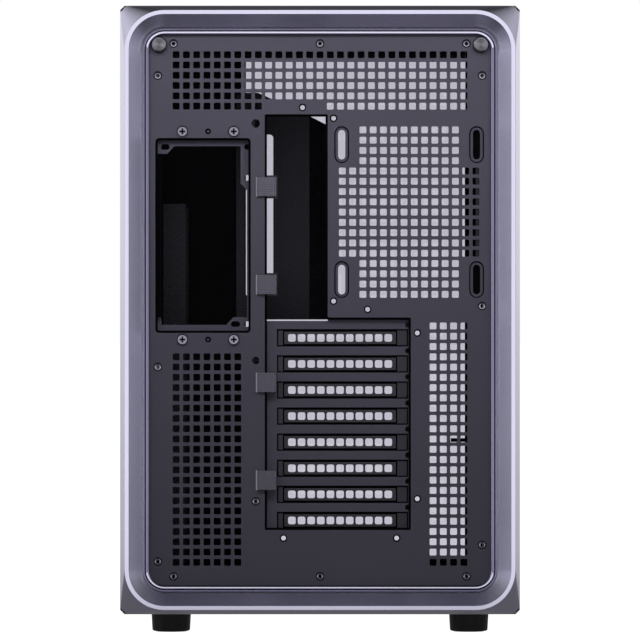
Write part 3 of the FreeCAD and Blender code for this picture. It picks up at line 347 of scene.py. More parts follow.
def woven_nylon_mesh():
    # Open nylon screen: a dark square lattice of round threads.
    material, tree, shader, place = new_finish("woven_nylon_mesh", {"Roughness": 0.6, "IOR": 1.53})
    # Openings are 0.6 mm; they are drawn at 2 mm.
    scale = per_metre(2.0) / half_waves
    across, along = [add(tree, "ShaderNodeTexWave",
                         {"bands_direction": way, "Scale": scale}, {"Vector": place})
                     for way in ("X", "Y")]
    thread = add(tree, "ShaderNodeMath", {"operation": "MAXIMUM"},
                 {0: across.outputs["Fac"], 1: along.outputs["Fac"]})
    tone = add(tree, "ShaderNodeMix", {"data_type": "RGBA", 6: linear("#0c0c0d"), 7: linear("#2b2b2f")},
               {0: thread.outputs[0]})
    tree.links.new(tone.outputs[2], shader.inputs["Base Color"])
    bump = add(tree, "ShaderNodeBump", {"Strength": 0.6, "Distance": 0.3 * MM}, {"Height": thread.outputs[0]})
    tree.links.new(bump.outputs[0], shader.inputs["Normal"])
    return material


ALUMINIUM = bead_blasted_anodised_aluminium("bead_blasted_anodised_aluminium", "#d2d0e6", "#d9d7ed")
# The bead is painted darker than the flats as painted shade, its groove darkest of all as painted shadow, and
# its outer flank a neutral grey as painted shade.
BEAD_SHADE = bead_blasted_anodised_aluminium("bead_painted_shade", "#7a7891", "#807e98")
FLANK_SHADE = bead_blasted_anodised_aluminium("flank_painted_shade", "#aeadac", "#b4b3b2")
GROOVE_SHADOW = bead_blasted_anodised_aluminium("groove_painted_shadow", "#1f1e29", "#24232f")
PANEL_COAT = powder_coated_steel("powder_coated_panel", "#33323b", "#383740", 0.58)
COVER_COAT = powder_coated_steel("powder_coated_cover", "#28272b", "#2c2b30", 0.58)
INNER_COAT = powder_coated_steel("powder_coated_inner_steel", "#0e0e10", "#111114", 0.55)
SATIN_COVER = powder_coated_steel("satin_coated_cover", "#1e1d21", "#232227", 0.28)
SATIN_COAT = powder_coated_steel("satin_coated_steel", "#111114", "#151518", 0.28)
# Near-black painted shade: recesses, gaps, rolled lips and the sheets behind openings get it so that they
# read as shadow.
SHADE_BLACK = powder_coated_steel("painted_shade_black", "#020203", "#040405", 0.8, 0.05)
TURNED = turned_steel("lathe_turned_steel", "#85848a", 0.18)
PLATED = plated_fastener("zinc_plated_screw", "#9b99a8", 1.0, 0.36)
BLACKENED = plated_fastener("blackened_rivet", "#a3a1b0", 1.0, 0.22)
# Light grey strip for the painted highlight in the strap slots.
GAP_HIGHLIGHT = plated_fastener("painted_gap_highlight", "#8d8c92", 1.0, 0.4)
STANDOFF = plated_fastener("black_nickel_plated_brass", "#3f3e44", 1.0, 0.3)
GLASS = grey_tinted_glass()
STRAP = woven_strap()
FOOT = moulded_plastic("moulded_abs_foot", "#0d0d0e", 0.17, 2.0, 0.02)
NYLON = moulded_plastic("moulded_nylon", "#161618", 0.5, 0.9, 0.1)
RUBBER = moulded_plastic("moulded_rubber", "#141415", 0.8, 1.2, 0.3)
LAMINATE = moulded_plastic("solder_masked_laminate", "#10201a", 0.4, 1.5, 0.1)
MESH = woven_nylon_mesh()


# Meshes


def outlines(node, axis, level):
    """Closed outlines, in millimetres, of a CAD node's flat face at one level along an axis."""
    mesh = bmesh.new()
    mesh.from_mesh(nodes[node].data)
    bmesh.ops.remove_doubles(mesh, verts=mesh.verts, dist=cad_weld * MM)
    near = flat_gap * MM
    flat = {f for f in mesh.faces if all(abs(v.co[axis] - level * MM) < near for v in f.verts)}
    follow = {}
    for face in flat:
        for edge in face.edges:
            if sum(other in flat for other in edge.link_faces) == 1:
                for vert in edge.verts:
                    follow.setdefault(vert, []).append(edge.other_vert(vert))
    loops = []
    while follow:
        start = next(iter(follow))
        loop = [start]
        step = follow.pop(start)[0]
        while step is not start:
            loop.append(step)
            ahead = follow.pop(step)
            step = ahead[0] if ahead[1] is loop[-2] else ahead[1]
        kept = [i for i in range(3) if i != axis]
        loops.append([Vector([v.co[i] / MM for i in kept]) for v in loop])
    mesh.free()
    return loops


def extent(loop):
    """Width and height of an outline."""
    return [max(p[i] for p in loop) - min(p[i] for p in loop) for i in (0, 1)]


def middle(loop):
    return Vector([(max(p[i] for p in loop) + min(p[i] for p in loop)) / 2 for i in (0, 1)])


def area(loop):
    return abs(sum(a.x * b.y - b.x * a.y for a, b in zip(loop, loop[1:] + loop[:1]))) / 2


def eased(loop, radius, steps=3):
    """The outline with its sharp corners rounded."""
    points = []
    for before, corner, after in zip(loop[-1:] + loop[:-1], loop, loop[1:] + loop[:1]):
        back = before - corner
        ahead = after - corner
        turn = back.angle(ahead)
        if turn > math.radians(straight_angle):
            points.append(corner)
            continue
        cut = min(radius / math.tan(turn / 2), back.length * corner_share, ahead.length * corner_share)
        size = cut * math.tan(turn / 2)
        centre = corner + (back.normalized() + ahead.normalized()).normalized() * size / math.sin(turn / 2)
        first = corner + back.normalized() * cut - centre
        last = corner + ahead.normalized() * cut - centre
        sweep = math.atan2(first.x * last.y - first.y * last.x, first.dot(last))
        for i in range(steps + 1):
            points.append(centre + Matrix.Rotation(sweep * i / steps, 2) @ first)
    return points


def circle(centre, radius, steps=24):
    return [centre + Vector((math.cos(a), math.sin(a))) * radius
            for a in [2 * math.pi * i / steps for i in range(steps)]]


def stadium(centre, width, length, steps=8):
    """Upright slot with round ends."""
    reach = (length - width) / 2
    points = []
    for end, start in ((1, 0.0), (-1, math.pi)):
        for i in range(steps + 1):
            angle = start + math.pi * i / steps
            arm = Vector((math.cos(angle), math.sin(angle))) * width / 2
            points.append(centre + arm + Vector((0, end * reach)))
    return points


def rectangle(left, right, low, high):
    return [Vector((left, low)), Vector((right, low)), Vector((right, high)), Vector((left, high))]


def in_space(axis, point, level):
    """Point of a drawing plane across an axis, in millimetres."""
    place = [point[0], point[1]]
    place.insert(axis, level)
    return Vector(place)


def sheet_mesh(loops, axis, level, thickness, edge):
    """Mesh of a flat sheet: the first outline with the others cut out of it, with rounded edges."""
    curve = bpy.data.curves.new("sheet", "CURVE")
    curve.dimensions = "2D"
    curve.fill_mode = "BOTH"
    curve.extrude = (thickness / 2 - edge) * MM
    curve.bevel_depth = edge * MM
    curve.bevel_resolution = 1
    curve.offset = -edge * MM
    for loop in loops:
        spline = curve.splines.new("POLY")
        spline.points.add(len(loop) - 1)
        for target, point in zip(spline.points, loop):
            target.co = (point[0] * MM, point[1] * MM, 0, 1)
        spline.use_cyclic_u = True
    holder = bpy.data.objects.new("sheet", curve)
    bpy.context.scene.collection.objects.link(holder)
    bpy.context.view_layer.update()
    mesh = bpy.data.meshes.new_from_object(holder.evaluated_get(bpy.context.evaluated_depsgraph_get()))
    columns = [in_space(axis, (1, 0), 0), in_space(axis, (0, 1), 0)]
    columns.append(columns[0].cross(columns[1]))
    turn = Matrix(columns).transposed().to_4x4()
    turn.translation = in_space(axis, (0, 0), (level + thickness / 2) * MM)
    mesh.transform(turn)
    bpy.data.objects.remove(holder)
    bpy.data.curves.remove(curve)
    result = bmesh.new()
    result.from_mesh(mesh)
    bpy.data.meshes.remove(mesh)
    return result


def joined(parts):
    """One mesh of several."""
    whole = bmesh.new()
    for part in parts:
        scrap = bpy.data.meshes.new("scrap")
        part.to_mesh(scrap)
        part.free()
        whole.from_mesh(scrap)
        bpy.data.meshes.remove(scrap)
    return whole


def piece(name, mesh, material, body, replaced):
    """Makes an object of a mesh, gives it its finish and rides it on its body in place of CAD nodes."""
    bmesh.ops.remove_doubles(mesh, verts=mesh.verts, dist=piece_weld * MM)
    bmesh.ops.recalc_face_normals(mesh, faces=mesh.faces)
    data = bpy.data.meshes.new(name)
    mesh.to_mesh(data)
    mesh.free()
    data.materials.append(material)
    for polygon in data.polygons:
        polygon.use_smooth = True
    data.set_sharp_from_angle(angle=math.radians(sharp_angle))
    made = bpy.data.objects.new(name, data)
    level = made.modifiers.new("level_faces", "WEIGHTED_NORMAL")
    level.keep_sharp = True
    bpy.context.scene.collection.objects.link(made)
    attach(made, body)
    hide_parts(*replaced)
    return made


def ribbon(rings):
    """Mesh of faces between closed rings of as many points each, in millimetres."""
    mesh = bmesh.new()
    verts = [[mesh.verts.new(p * MM) for p in ring] for ring in rings]
    for near, far in zip(verts, verts[1:]):
        for i in range(len(near)):
            j = (i + 1) % len(near)
            mesh.faces.new((near[i], near[j], far[j], far[i]))
    return mesh


def turned(profile, centre, outward, sides, ridge=0.0):
    """Mesh of a turned form: profile points are radius and height along the outward axis. Ridges knurl it."""
    axes = outward.to_track_quat("Z", "Y").to_matrix()
    rings = []
    for radius, height in profile:
        ring = []
        for i in range(sides):
            angle = 2 * math.pi * i / sides
            reach = radius - (ridge if i % 2 else 0.0)
            ring.append(centre + axes @ Vector((reach * math.cos(angle), reach * math.sin(angle), height)))
        rings.append(ring)
    mesh = ribbon(rings)
    bmesh.ops.remove_doubles(mesh, verts=mesh.verts, dist=piece_weld * MM)
    return mesh


def ease_edges(node, width):
    """Rounds a CAD node's sharp edges a little, so that they catch the light."""
    weld = nodes[node].modifiers.new("weld", "WELD")
    weld.merge_threshold = piece_weld * MM
    bevel = nodes[node].modifiers.new("eased", "BEVEL")
    bevel.width = width * MM
    bevel.segments = 2
    bevel.limit_method = "ANGLE"
    bevel.angle_limit = math.radians(bevel_angle)
    bevel.use_clamp_overlap = True
    level = nodes[node].modifiers.new("level_faces", "WEIGHTED_NORMAL")
    level.keep_sharp = True


def paint(node, material, edge=0.0):
    """Gives a CAD node its finish."""
    data = nodes[node].data
    data.materials.clear()
    data.materials.append(material)
    if edge:
        ease_edges(node, edge)


def solids_of(node):
    """Boxes, in millimetres, of the separate solids in a CAD node."""
    mesh = bmesh.new()
    mesh.from_mesh(nodes[node].data)
    bmesh.ops.remove_doubles(mesh, verts=mesh.verts, dist=cad_weld * MM)
    left = set(mesh.verts)
    boxes = []
    while left:
        group = [left.pop()]
        for vert in group:
            for edge in vert.link_edges:
                other = edge.other_vert(vert)
                if other in left:
                    left.discard(other)
                    group.append(other)
        low = Vector([min(v.co[i] for v in group) / MM for i in range(3)])
        high = Vector([max(v.co[i] for v in group) / MM for i in range(3)])
        boxes.append((low, high))
    mesh.free()
    return boxes


# Pieces


def make_rear_panel():
    """Punched rear panel: rounded vents, rolled edges, pressed lands, moats, dimples and folded returns; the
    recessed parts are painted black as shade.
    """
    low, high = row_mm("rear_panel")
    rear = low.y
    thickness = high.y - low.y
    bracket = row_mm("supply_bracket")
    heads = [box for node in ("rivets", "thumb_screws", "supply_bracket_screws") for box in solids_of(node)]
    loops = sorted(outlines("rear_panel", Y, rear), key=area, reverse=True)
    cut = [loops[0]]
    parts = []
    recesses = []
    for loop in loops[1:]:
        width, height = extent(loop)
        spot = middle(loop)
        rounded = len(loop) > round_points
        head = [h for h in heads if h[0].x < spot.x < h[1].x and h[0].z < spot.y < h[1].z]
        if len(loop) == 4 and max(width, height) <= small_vent:
            cut.append(eased(loop, vent_corner))
        elif max(width, height) > large_opening:
            edge = eased(loop, opening_corner)
            cut.append(edge)
            recesses.append(rolled_edge(edge, rear, thickness))
        elif rounded and height > 2 * width:
            cut.append(stadium(spot, width + 2 * land_margin, height + 2 * land_margin))
            wall, land = fan_land(spot, width, height, rear, thickness)
            recesses.append(wall)
            parts.append(land)
        elif head:
            radius = (head[0][1].x - head[0][0].x) / 2
            cut.append(circle(spot, radius + moat_width))
            recesses.append(moat(spot, radius, width / 2, rear, thickness))
        elif rounded and width < small_vent and bracket[0].x < spot.x < bracket[1].x:
            cut.append(circle(spot, blind_rim))
            recesses.append(pressed_rings(spot, rear, blind_rings))
        elif rounded and width < dimple_radius * 2:
            cut.append(circle(spot, dimple_radius))
            recesses.append(dimple(spot, width / 2, rear, thickness))
        else:
            cut.append(loop)
    parts.append(sheet_mesh(cut, Y, rear, thickness, sheet_edge))
    for *sides, depth in returns:
        recesses.append(sheet_mesh([rectangle(*sides)], Y, rear + depth, return_sheet, return_edge))
    piece("rear_panel_sheet", joined(parts), PANEL_COAT, "chassis", ["rear_panel"])
    # The recesses are painted near black as shade.
    piece("rear_panel_recesses", joined(recesses), SHADE_BLACK, "chassis", ["rear_panel"])


def pressed_rings(spot, rear, steps):
    """Round pressing: steps are radius and depth from the outside in."""
    return ribbon([[in_space(Y, p, rear + depth) for p in circle(spot, radius)] for radius, depth in steps])


def moat(spot, radius, hole, rear, thickness):
    """Ring pressed round a fastener's head, painted black as its shadow; the head sits on the island inside
    it.
    """
    outer = radius + moat_width
    island = radius - island_inset
    back = moat_depth + thickness
    steps = ((outer, 0.0), (outer - moat_edge, moat_edge), (outer - moat_lean, moat_depth),
             (island + moat_lean, moat_depth), (island, moat_edge), (hole, island_sink),
             (hole, back), (outer, back), (outer, thickness))
    return pressed_rings(spot, rear, steps)


def dimple(spot, hole, rear, thickness):
    """Cone pressed round a tapped hole, painted black as shade."""
    outer = dimple_radius
    back = dimple_depth + thickness
    steps = ((outer, 0.0), (outer - dimple_lean, dimple_edge),
             (hole + dimple_edge, dimple_depth - dimple_edge), (hole, dimple_depth),
             (hole, back), (outer, back), (outer, thickness))
    return pressed_rings(spot, rear, steps)


def shrunk(loop, by):
    """The outline moved towards its inside."""
    count = len(loop)
    turn = sum(a.x * b.y - b.x * a.y for a, b in zip(loop, loop[1:] + loop[:1]))
    side = 1 if turn > 0 else -1
    points = []
    for i in range(count):
        ahead = (loop[(i + 1) % count] - loop[i]).normalized()
        back = (loop[i] - loop[i - 1]).normalized()
        along = (ahead + back).normalized()
        inward = Vector((-along.y, along.x)) * side
        slope = max(0.5, inward.dot(Vector((-ahead.y, ahead.x)) * side))
        points.append(loop[i] + inward * by / slope)
    return points


def rolled_edge(loop, rear, thickness):
    """Edge of a large opening, rolled steeply inwards and ended square; it is painted black as the shade
    along the opening.
    """
    width, end = lip_roll[-1]
    steps = lip_roll + ((width, end + lip_sheet), (0.0, end + lip_sheet), (0.0, thickness / 2))
    rings = []
    for inset, depth in steps:
        rings.append([in_space(Y, p, rear + depth) for p in shrunk(loop, inset)])
    return ribbon(rings)


def fan_land(centre, width, length, rear, thickness):
    """Pressed land round a fan slot: a steep step down to a flat, then the slot's own edge; the step is
    painted black as shade.
    """
    margin = land_margin
    foot = margin - land_wall
    back = land_depth + thickness
    wall = ((foot, land_depth), (margin - land_edge, land_round), (margin, 0.0),
            (margin, thickness), (margin, back))
    land = ((foot, land_depth), (land_edge, land_depth), (0.0, land_depth + land_edge),
            (0.0, back), (margin, back))
    made = []
    for steps in (wall, land):
        rings = []
        for grow, depth in steps:
            ring = stadium(centre, width + 2 * grow, length + 2 * grow)
            rings.append([in_space(Y, p, rear + depth) for p in ring])
        made.append(ribbon(rings))
    return made


def slot_window(boss, level):
    """Outline of the slot plate's window that a boss stands in."""
    for window in outlines("slot_plate", Y, level):
        narrow = extent(window)[0] < 2 * extent(boss)[0]
        if narrow and area(window) > area(boss) and abs(middle(window).y - middle(boss).y) < 1:
            return window


def make_slot_cover(number):
    """Blanking strip with a raised vented boss, a trench round the boss and the screw tab; the trench and a
    ring along the window's edge are painted black as shadow.
    """
    node = f"slot_cover_{number}"
    low, high = row_mm(node)
    boss, *vents = sorted(outlines(node, Y, low.y), key=area, reverse=True)
    inner_y = max(v.co.y for v in nodes[node].data.vertices if v.co.x < 0) / MM
    tab = sorted(outlines(node, X, high.x), key=area, reverse=True)
    strip_y = min(p.x for p in tab[0])
    thickness = inner_y - strip_y
    edge = eased(rectangle(low.x, high.x, low.z, high.z), cover_corner)
    trench = eased(shrunk(boss, -boss_slope), trench_corner)
    face = eased(shrunk(boss, boss_slope), boss_corner)
    vents = [eased(vent, cover_vent_corner) for vent in vents]
    parts = [sheet_mesh([edge, trench], Y, strip_y, thickness, sheet_edge),
             sheet_mesh([face] + vents, Y, low.y, thickness, sheet_edge),
             sheet_mesh(tab, X, high.x - thickness, thickness, sheet_edge)]
    foot = strip_y + thickness + trench_depth
    steps = ((trench, strip_y + sheet_edge), (trench, foot), (face, foot), (face, low.y + thickness / 2))
    wall = ribbon([[in_space(Y, p, y) for p in loop] for loop, y in steps])
    window = slot_window(boss, strip_y - slot_sheet)
    window_shadow = ribbon([[in_space(Y, p, strip_y - y) for p in shrunk(window, inset)] for inset, y in window_shadow_ring])
    piece(f"slot_cover_trench_{number}", joined([wall, window_shadow]), SHADE_BLACK, "chassis", [node])
    piece(f"pressed_slot_cover_{number}", joined(parts), COVER_COAT, "chassis", [node])


def make_rivets():
    """Hollow pop rivets with a domed head."""
    parts = []
    for low, high in solids_of("rivets"):
        centre = (low + high) / 2
        centre.y = row_mm("rear_panel")[0].y
        radius = (high.x - low.x) / 2
        rise = centre.y - low.y
        dome = [(radius * across, rise * up) for across, up in rivet_dome]
        bore = dome[-1][0]
        outside = bore + rivet_wall
        sleeve = [(bore, -rivet_reach), (outside, -rivet_reach), (outside, 0.0), (radius, 0.0)]
        parts.append(turned(dome + sleeve, centre, REARWARD, rivet_sides))
    piece("pop_rivets", joined(parts), BLACKENED, "chassis", ["rivets"])


def make_thumb_screws():
    """Knurled screws with a faced head, each its own piece so that its tool marks run round its own axis."""
    seat = row_mm("rear_panel")[0].y
    for side, (low, high) in zip(("a", "b"), solids_of("thumb_screws")):
        centre = (low + high) / 2
        centre.y = seat
        radius = (high.x - low.x) / 2
        rise = seat - low.y
        tip = seat - high.y
        grip = [(radius - grip_relief, 0.0), (radius, grip_relief), (radius, rise - face_chamfer)]
        last = radius - face_inset
        level = rise - face_sink
        face = [(radius, rise - face_chamfer), (radius - face_chamfer, rise), (last, level)]
        for i in range(face_rings):
            face.append((last * (1 - (i + 0.5) / face_rings), level - face_groove))
            face.append((last * (1 - (i + 1) / face_rings), level))
        shank = [(thumb_shank, 0.0), (thumb_shank, tip), (0.0, tip)]
        screw = joined([turned(grip, centre, REARWARD, knurl_sides, knurl_depth),
                        turned(face, centre, REARWARD, knurl_sides),
                        turned(shank, centre, REARWARD, thumb_shank_sides)])
        piece(f"knurled_thumb_screw_{side}", screw, TURNED, "chassis", ["thumb_screws"])


def cross(centre, arm, half):
    """Outline of a cross recess."""
    quarter = [Vector((half, arm)), Vector((half, half)), Vector((arm, half))]
    points = []
    for i in range(4):
        turn = Matrix.Rotation(-math.pi / 2 * i, 2)
        points += [centre + turn @ p for p in quarter]
    return points


def make_supply_bracket_screws():
    """Pan-head screws with a cross recess, whose floor is painted black as shade."""
    node = "supply_bracket_screws"
    seat = row_mm("rear_panel")[0].y
    parts = []
    floors = []
    for low, high in solids_of(node):
        centre = (low + high) / 2
        centre.y = seat
        spot = Vector((centre.x, centre.z))
        radius = (high.x - low.x) / 2
        rise = seat - low.y
        tip = seat - high.y
        head = [circle(spot, radius, head_sides), cross(spot, recess_arm, recess_half)]
        parts.append(sheet_mesh(head, Y, low.y, rise - head_gap, head_edge))
        inside = radius - recess_wall
        floor = [(inside, 0.0), (inside, rise - recess_depth), (0.0, rise - recess_depth)]
        floors.append(turned(floor, centre, REARWARD, head_sides))
        shank = [(screw_shank, 0.0), (screw_shank, tip), (0.0, tip)]
        parts.append(turned(shank, centre, REARWARD, screw_shank_sides))
    piece("cross_recess_screws", joined(parts), PLATED, "chassis", [node])
    piece("cross_recess_floors", joined(floors), SHADE_BLACK, "chassis", [node])


def make_strap(number):
    """Woven loop with soft edges, a dark patch behind it as painted shade, and a light strip in its slot as a
    painted highlight.
    """
    node = f"cable_strap_{number}"
    low, high = row_mm(node)
    loops = sorted(outlines(node, Z, low.z), key=area, reverse=True)
    loop = sheet_mesh(loops, Z, low.z, high.z - low.z, strap_edge)
    # A dark patch behind the strap is painted shade.
    patch_outline = rectangle(low.x - patch_left, high.x + patch_right, low.z - patch_rise, high.z + patch_rise)
    shade_patch = sheet_mesh([eased(patch_outline, patch_corner)], Y, high.y + patch_gap, patch_sheet, patch_edge)
    rear = row_mm("rear_panel")[0].y
    # A light strip stands in the slot as a painted highlight.
    cut = rectangle(low.x - glint_far, low.x - glint_near, low.z - glint_rise, high.z + glint_rise)
    edge = sheet_mesh([cut], Y, rear + glint_sink, glint_sheet, glint_edge)
    piece(f"woven_strap_{number}", loop, STRAP, "chassis", [node])
    piece(f"strap_shade_patch_{number}", shade_patch, NYLON, "chassis", [node])
    piece(f"strap_slot_highlight_{number}", edge, GAP_HIGHLIGHT, "chassis", [node])


def make_foot(place):
    """Moulded foot with a slight taper and rounded edges."""
    node = f"foot_{place}"
    low, high = row_mm(node)
    centre = (low + high) / 2
    centre.z = 0.0
    radius = (high.x - low.x) / 2
    inner = radius - foot_taper - foot_round
    profile = [(pad_radius, pad_recess), (pad_radius, low.z)]
    for i in range(foot_round_steps + 1):
        turn = math.pi / 2 * i / foot_round_steps
        profile.append((inner + foot_round * math.sin(turn), low.z + foot_round * (1 - math.cos(turn))))
    profile += [(radius, high.z), (0.0, high.z)]
    mesh = turned(profile, centre, Vector((0, 0, 1)), foot_sides)
    piece(f"moulded_foot_{place}", mesh, FOOT, "chassis", [node])


def line_bead():
    """Painted shade on the rear frame's half-round bead: darker over most of it, a painted shadow in the
    groove on its outer flank, and a neutral grey painted shade further out on that flank; the crest on the
    level stretches keeps the plain finish.
    """
    data = nodes["rear_frame"].data
    plain, bead, groove, flank = range(4)
    for material in (BEAD_SHADE, GROOVE_SHADOW, FLANK_SHADE):
        data.materials.append(material)
    low, high = row_mm("rear_frame")
    centre = (low + high) / 2
    near, far = bead_span
    for face in data.polygons:
        depths = [data.vertices[v].co.y / MM for v in face.vertices]
        if min(depths) < near or max(depths) > far or face.normal.y > bead_facing:
            continue
        lean = Vector((face.normal.x, face.normal.z))
        spot = Vector((face.center.x / MM - centre.x, face.center.z / MM - centre.z))
        level = abs(spot.x) * (high.z - low.z) < abs(spot.y) * (high.x - low.x)
        if lean.dot(spot) > 0 and lean.length > groove_lean[0]:
            face.material_index = groove if lean.length < groove_lean[1] else flank
        else:
            face.material_index = plain if level and lean.length < crest_lean else bead


make_rear_panel()
for number in range(1, 9):
    make_slot_cover(number)
make_rivets()
make_thumb_screws()
make_supply_bracket_screws()
for number in range(1, 5):
    make_strap(number)
for place in ("rear_left", "rear_right", "front_left", "front_right"):
    make_foot(place)

# Finish, eased edge and the nodes that keep their CAD shape
dressed = (
    (ALUMINIUM, 0.0, ("rear_frame", "front_frame")),
    (ALUMINIUM, 0.25, ("top_rail_glass_side", "top_rail_steel_side")),
    (ALUMINIUM, 0.25, ("bottom_rail_glass_side", "bottom_rail_steel_side")),
    (ALUMINIUM, 0.2, ("top_cover", "io_strip", "power_button")),
    (PANEL_COAT, 0.15, ("supply_bracket", "slot_plate")),
    (PANEL_COAT, 0.2, ("steel_side_panel", "bottom_panel")),
    (SATIN_COAT, 0.15, ("drive_cage",)),
    (SATIN_COVER, 0.15, ("cable_cover",)),
    (INNER_COAT, 0.15, ("rear_flange", "board_tray", "side_fan_bracket", "front_pillar")),
    (INNER_COAT, 0.15, ("top_fan_bracket", "floor_panel")),
    (PLATED, 0.1, ("glass_panel_studs", "steel_panel_studs", "usb_a_ports", "usb_c_port")),
    (BLACKENED, 0.2, ("slot_cover_screws",)),
    (STANDOFF, 0.15, ("standoffs",)),
    (GLASS, 0.0, ("front_glass", "glass_side_panel")),
    (MESH, 0.0, ("top_filter", "bottom_filter")),
    (NYLON, 0.1, ("stud_sockets", "audio_jack", "power_switch")),
    (LAMINATE, 0.1, ("io_board",)),
    (RUBBER, 0.2, ("foot_pads",)),
)
for material, edge, names in dressed:
    for node in names:
        paint(node, material, edge)
line_bead()


# Stage, light and camera


def ray_kinds(tree):
    """Light path, whether a ray leaves a shiny surface, and whether it comes straight from the camera."""
    path = add(tree, "ShaderNodeLightPath").outputs
    # Glass passes its rays on as glossy ones, so those are taken out.
    shiny = add(tree, "ShaderNodeMath", {"operation": "SUBTRACT", "use_clamp": True},
                {0: path["Is Glossy Ray"], 1: path["Is Transmission Ray"]})
    bounces = add(tree, "ShaderNodeMath", {"operation": "ADD"},
                  {0: path["Diffuse Depth"], 1: path["Glossy Depth"]})
    direct = add(tree, "ShaderNodeMath", {"operation": "LESS_THAN", 1: 0.5}, {0: bounces.outputs[0]})
    return path, shiny.outputs[0], direct.outputs[0]


def make_floor():
    """Pale floor that is white to the camera and keeps a soft shadow."""
    reach = 60.0             # metres to each side
    mesh = bmesh.new()
    corners = [mesh.verts.new((x * reach, y * reach, 0)) for x, y in ((-1, -1), (1, -1), (1, 1), (-1, 1))]
    mesh.faces.new(corners)
    data = bpy.data.meshes.new("floor")
    mesh.to_mesh(data)
    mesh.free()
    material = bpy.data.materials.new("pale_floor")
    material.use_nodes = True
    tree = material.node_tree
    tree.nodes.clear()
    path, shiny, direct = ray_kinds(tree)
    seen = add(tree, "ShaderNodeMath", {"operation": "MAXIMUM"},
               {0: path["Is Camera Ray"], 1: path["Is Transmission Ray"]})
    plain = add(tree, "ShaderNodeMath", {"operation": "MULTIPLY"}, {0: seen.outputs[0], 1: direct})
    share = add(tree, "ShaderNodeMath", {"operation": "MULTIPLY", 1: 0.85}, {0: plain.outputs[0]})
    dull = add(tree, "ShaderNodeBsdfDiffuse", {"Color": linear("#c4c4c6")})
    white = add(tree, "ShaderNodeEmission", {"Color": linear("#ffffff"), "Strength": 1.25})
    mixed = add(tree, "ShaderNodeMixShader",
                links={0: share.outputs[0], 1: dull.outputs[0], 2: white.outputs[0]})
    # In reflections the floor glows: dark under the case as painted shade, grey far off and white towards the
    # camera.
    spot = add(tree, "ShaderNodeTexCoord").outputs["Object"]
    away = add(tree, "ShaderNodeVectorMath", {"operation": "LENGTH"}, {0: spot})
    far = add(tree, "ShaderNodeMapRange",
              {"From Min": 0.35, "From Max": 1.2, "To Min": 0.14, "To Max": 0.55},
              {"Value": away.outputs["Value"]})
    axes = add(tree, "ShaderNodeSeparateXYZ", links={0: spot})
    front = add(tree, "ShaderNodeMapRange",
                {"From Min": -0.4, "From Max": -0.65, "To Min": 0.0, "To Max": 1.05},
                {"Value": axes.outputs["Y"]})
    glow = add(tree, "ShaderNodeMath", {"operation": "MAXIMUM"}, {0: far.outputs[0], 1: front.outputs[0]})
    mirror = add(tree, "ShaderNodeEmission", {"Color": linear("#ffffff")}, {"Strength": glow.outputs[0]})
    whole = add(tree, "ShaderNodeMixShader", links={0: shiny, 1: mixed.outputs[0], 2: mirror.outputs[0]})
    add(tree, "ShaderNodeOutputMaterial", links={"Surface": whole.outputs[0]})
    data.materials.append(material)
    floor = bpy.data.objects.new("floor", data)
    bpy.context.scene.collection.objects.link(floor)


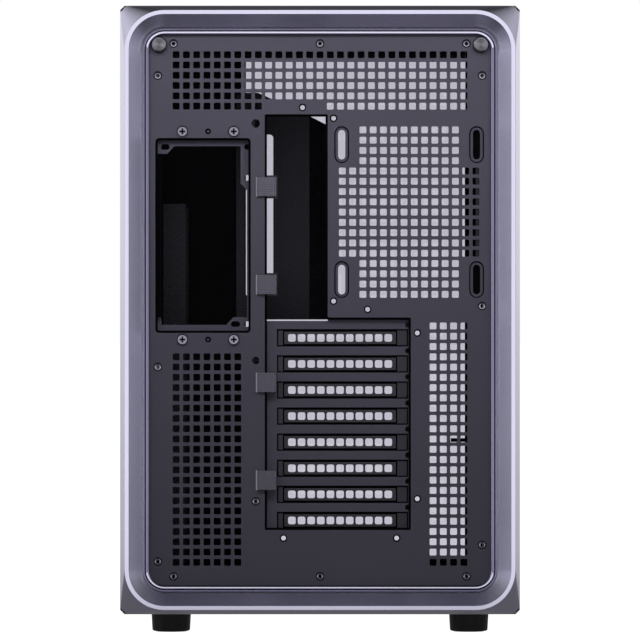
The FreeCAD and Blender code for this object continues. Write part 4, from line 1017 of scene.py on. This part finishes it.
def make_world():
    """White to the eye. In reflections a white backdrop, a softbox behind the camera and a dark ceiling."""
    world = bpy.data.worlds.new("studio")
    bpy.context.scene.world = world
    world.use_nodes = True
    tree = world.node_tree
    tree.nodes.clear()
    aim = add(tree, "ShaderNodeTexCoord").outputs["Generated"]
    parts = add(tree, "ShaderNodeSeparateXYZ", links={0: aim})
    rise = add(tree, "ShaderNodeMath", {"operation": "ABSOLUTE"}, {0: parts.outputs["Z"]})
    aside = add(tree, "ShaderNodeMath", {"operation": "ABSOLUTE"}, {0: parts.outputs["X"]})
    # The softbox behind the camera and the backdrop beyond the case, both low in the room.
    box = add(tree, "ShaderNodeMapRange",
              {"From Min": -0.97, "From Max": -0.82, "To Min": 1.27, "To Max": 0.0},
              {"Value": parts.outputs["Y"]})
    backdrop = add(tree, "ShaderNodeMapRange",
                   {"From Min": 0.35, "From Max": 0.8, "To Min": 0.0, "To Max": 1.0},
                   {"Value": parts.outputs["Y"]})
    ahead = add(tree, "ShaderNodeMath", {"operation": "MAXIMUM"}, {0: box.outputs[0], 1: backdrop.outputs[0]})
    height = add(tree, "ShaderNodeMath", {"operation": "MULTIPLY_ADD", 1: -0.6},
                 {0: aside.outputs[0], 2: rise.outputs[0]})
    level = add(tree, "ShaderNodeMapRange", {"From Min": 0.1, "From Max": 0.3, "To Min": 1.0, "To Max": 0.05},
                {"Value": height.outputs[0]})
    low = add(tree, "ShaderNodeMath", {"operation": "MULTIPLY"}, {0: ahead.outputs[0], 1: level.outputs[0]})
    # Pale walls, the left one lighter.
    wall = add(tree, "ShaderNodeMapRange", {"From Min": -1.0, "From Max": 1.0, "To Min": 0.75, "To Max": 0.5},
               {"Value": parts.outputs["X"]})
    turn = add(tree, "ShaderNodeMapRange", {"From Min": 0.3, "From Max": 0.8, "To Min": 0.05, "To Max": 1.0},
               {"Value": aside.outputs[0]})
    walls = add(tree, "ShaderNodeMath", {"operation": "MULTIPLY"}, {0: wall.outputs[0], 1: turn.outputs[0]})
    mirror = add(tree, "ShaderNodeMath", {"operation": "MAXIMUM"}, {0: low.outputs[0], 1: walls.outputs[0]})
    path, shiny, direct = ray_kinds(tree)
    shade = add(tree, "ShaderNodeMapRange", {"To Min": 0.02, "To Max": 0.08},
                {"Value": path["Is Diffuse Ray"]})
    plain = add(tree, "ShaderNodeMix", {3: 1.0}, {0: direct, 2: shade.outputs[0]})
    strength = add(tree, "ShaderNodeMix", links={0: shiny, 2: plain.outputs[0], 3: mirror.outputs[0]})
    back = add(tree, "ShaderNodeBackground", {"Color": linear("#ffffff")}, {"Strength": strength.outputs[0]})
    add(tree, "ShaderNodeOutputWorld", links={"Surface": back.outputs[0]})


def make_softbox(name, place, aim, width, height, power, mirrored=False):
    """Rectangular soft light, in metres and watts; the world stands for most of them in reflections."""
    data = bpy.data.lights.new(name, "AREA")
    data.shape = "RECTANGLE"
    data.size = width
    data.size_y = height
    data.energy = power
    lamp = bpy.data.objects.new(name, data)
    lamp.location = place
    lamp.rotation_euler = (Vector(aim) - Vector(place)).to_track_quat("-Z", "Y").to_euler()
    lamp.visible_camera = False
    lamp.visible_glossy = mirrored
    lamp.visible_transmission = False
    bpy.context.scene.collection.objects.link(lamp)


def make_lights():
    """Two side softboxes that the metal mirrors, one over the rear, one by the camera, one at the front."""
    middle_rear = (0.0, -0.22, 0.25)
    top_rear = (0.0, -0.22, 0.47)
    make_softbox("left_softbox", (-1.8, -0.9, 0.5), middle_rear, 0.8, 1.2, 6, mirrored=True)
    make_softbox("right_softbox", (1.8, -0.9, 0.5), middle_rear, 0.8, 1.2, 3.6, mirrored=True)
    make_softbox("top_softbox", (0.0, -0.62, 0.7), top_rear, 1.2, 0.2, 7.2)
    make_softbox("camera_softbox", (-0.1, -2.4, 0.45), middle_rear, 0.6, 0.4, 0.8)
    make_softbox("front_softbox", (0.0, 2.4, 0.6), (0.0, 0.0, 0.25), 1.2, 0.8, 12)


def make_camera():
    """Camera square on to the rear panel, at the photo's scale and height."""
    data = bpy.data.cameras.new("camera")
    data.sensor_width = sensor
    data.lens = sensor * camera_distance / (image_width * photo_scale)
    camera = bpy.data.objects.new("camera", data)
    panel = row_mm("rear_panel")[0].y
    height = (photo_floor_row - image_width / 2) * photo_scale
    camera.location = Vector((0.0, panel - camera_distance, height)) * MM
    camera.rotation_euler = (math.pi / 2, 0.0, 0.0)
    bpy.context.scene.collection.objects.link(camera)
    bpy.context.scene.camera = camera


make_floor()
make_world()
make_lights()
make_camera()
bpy.context.scene.view_settings.view_transform = "Standard"
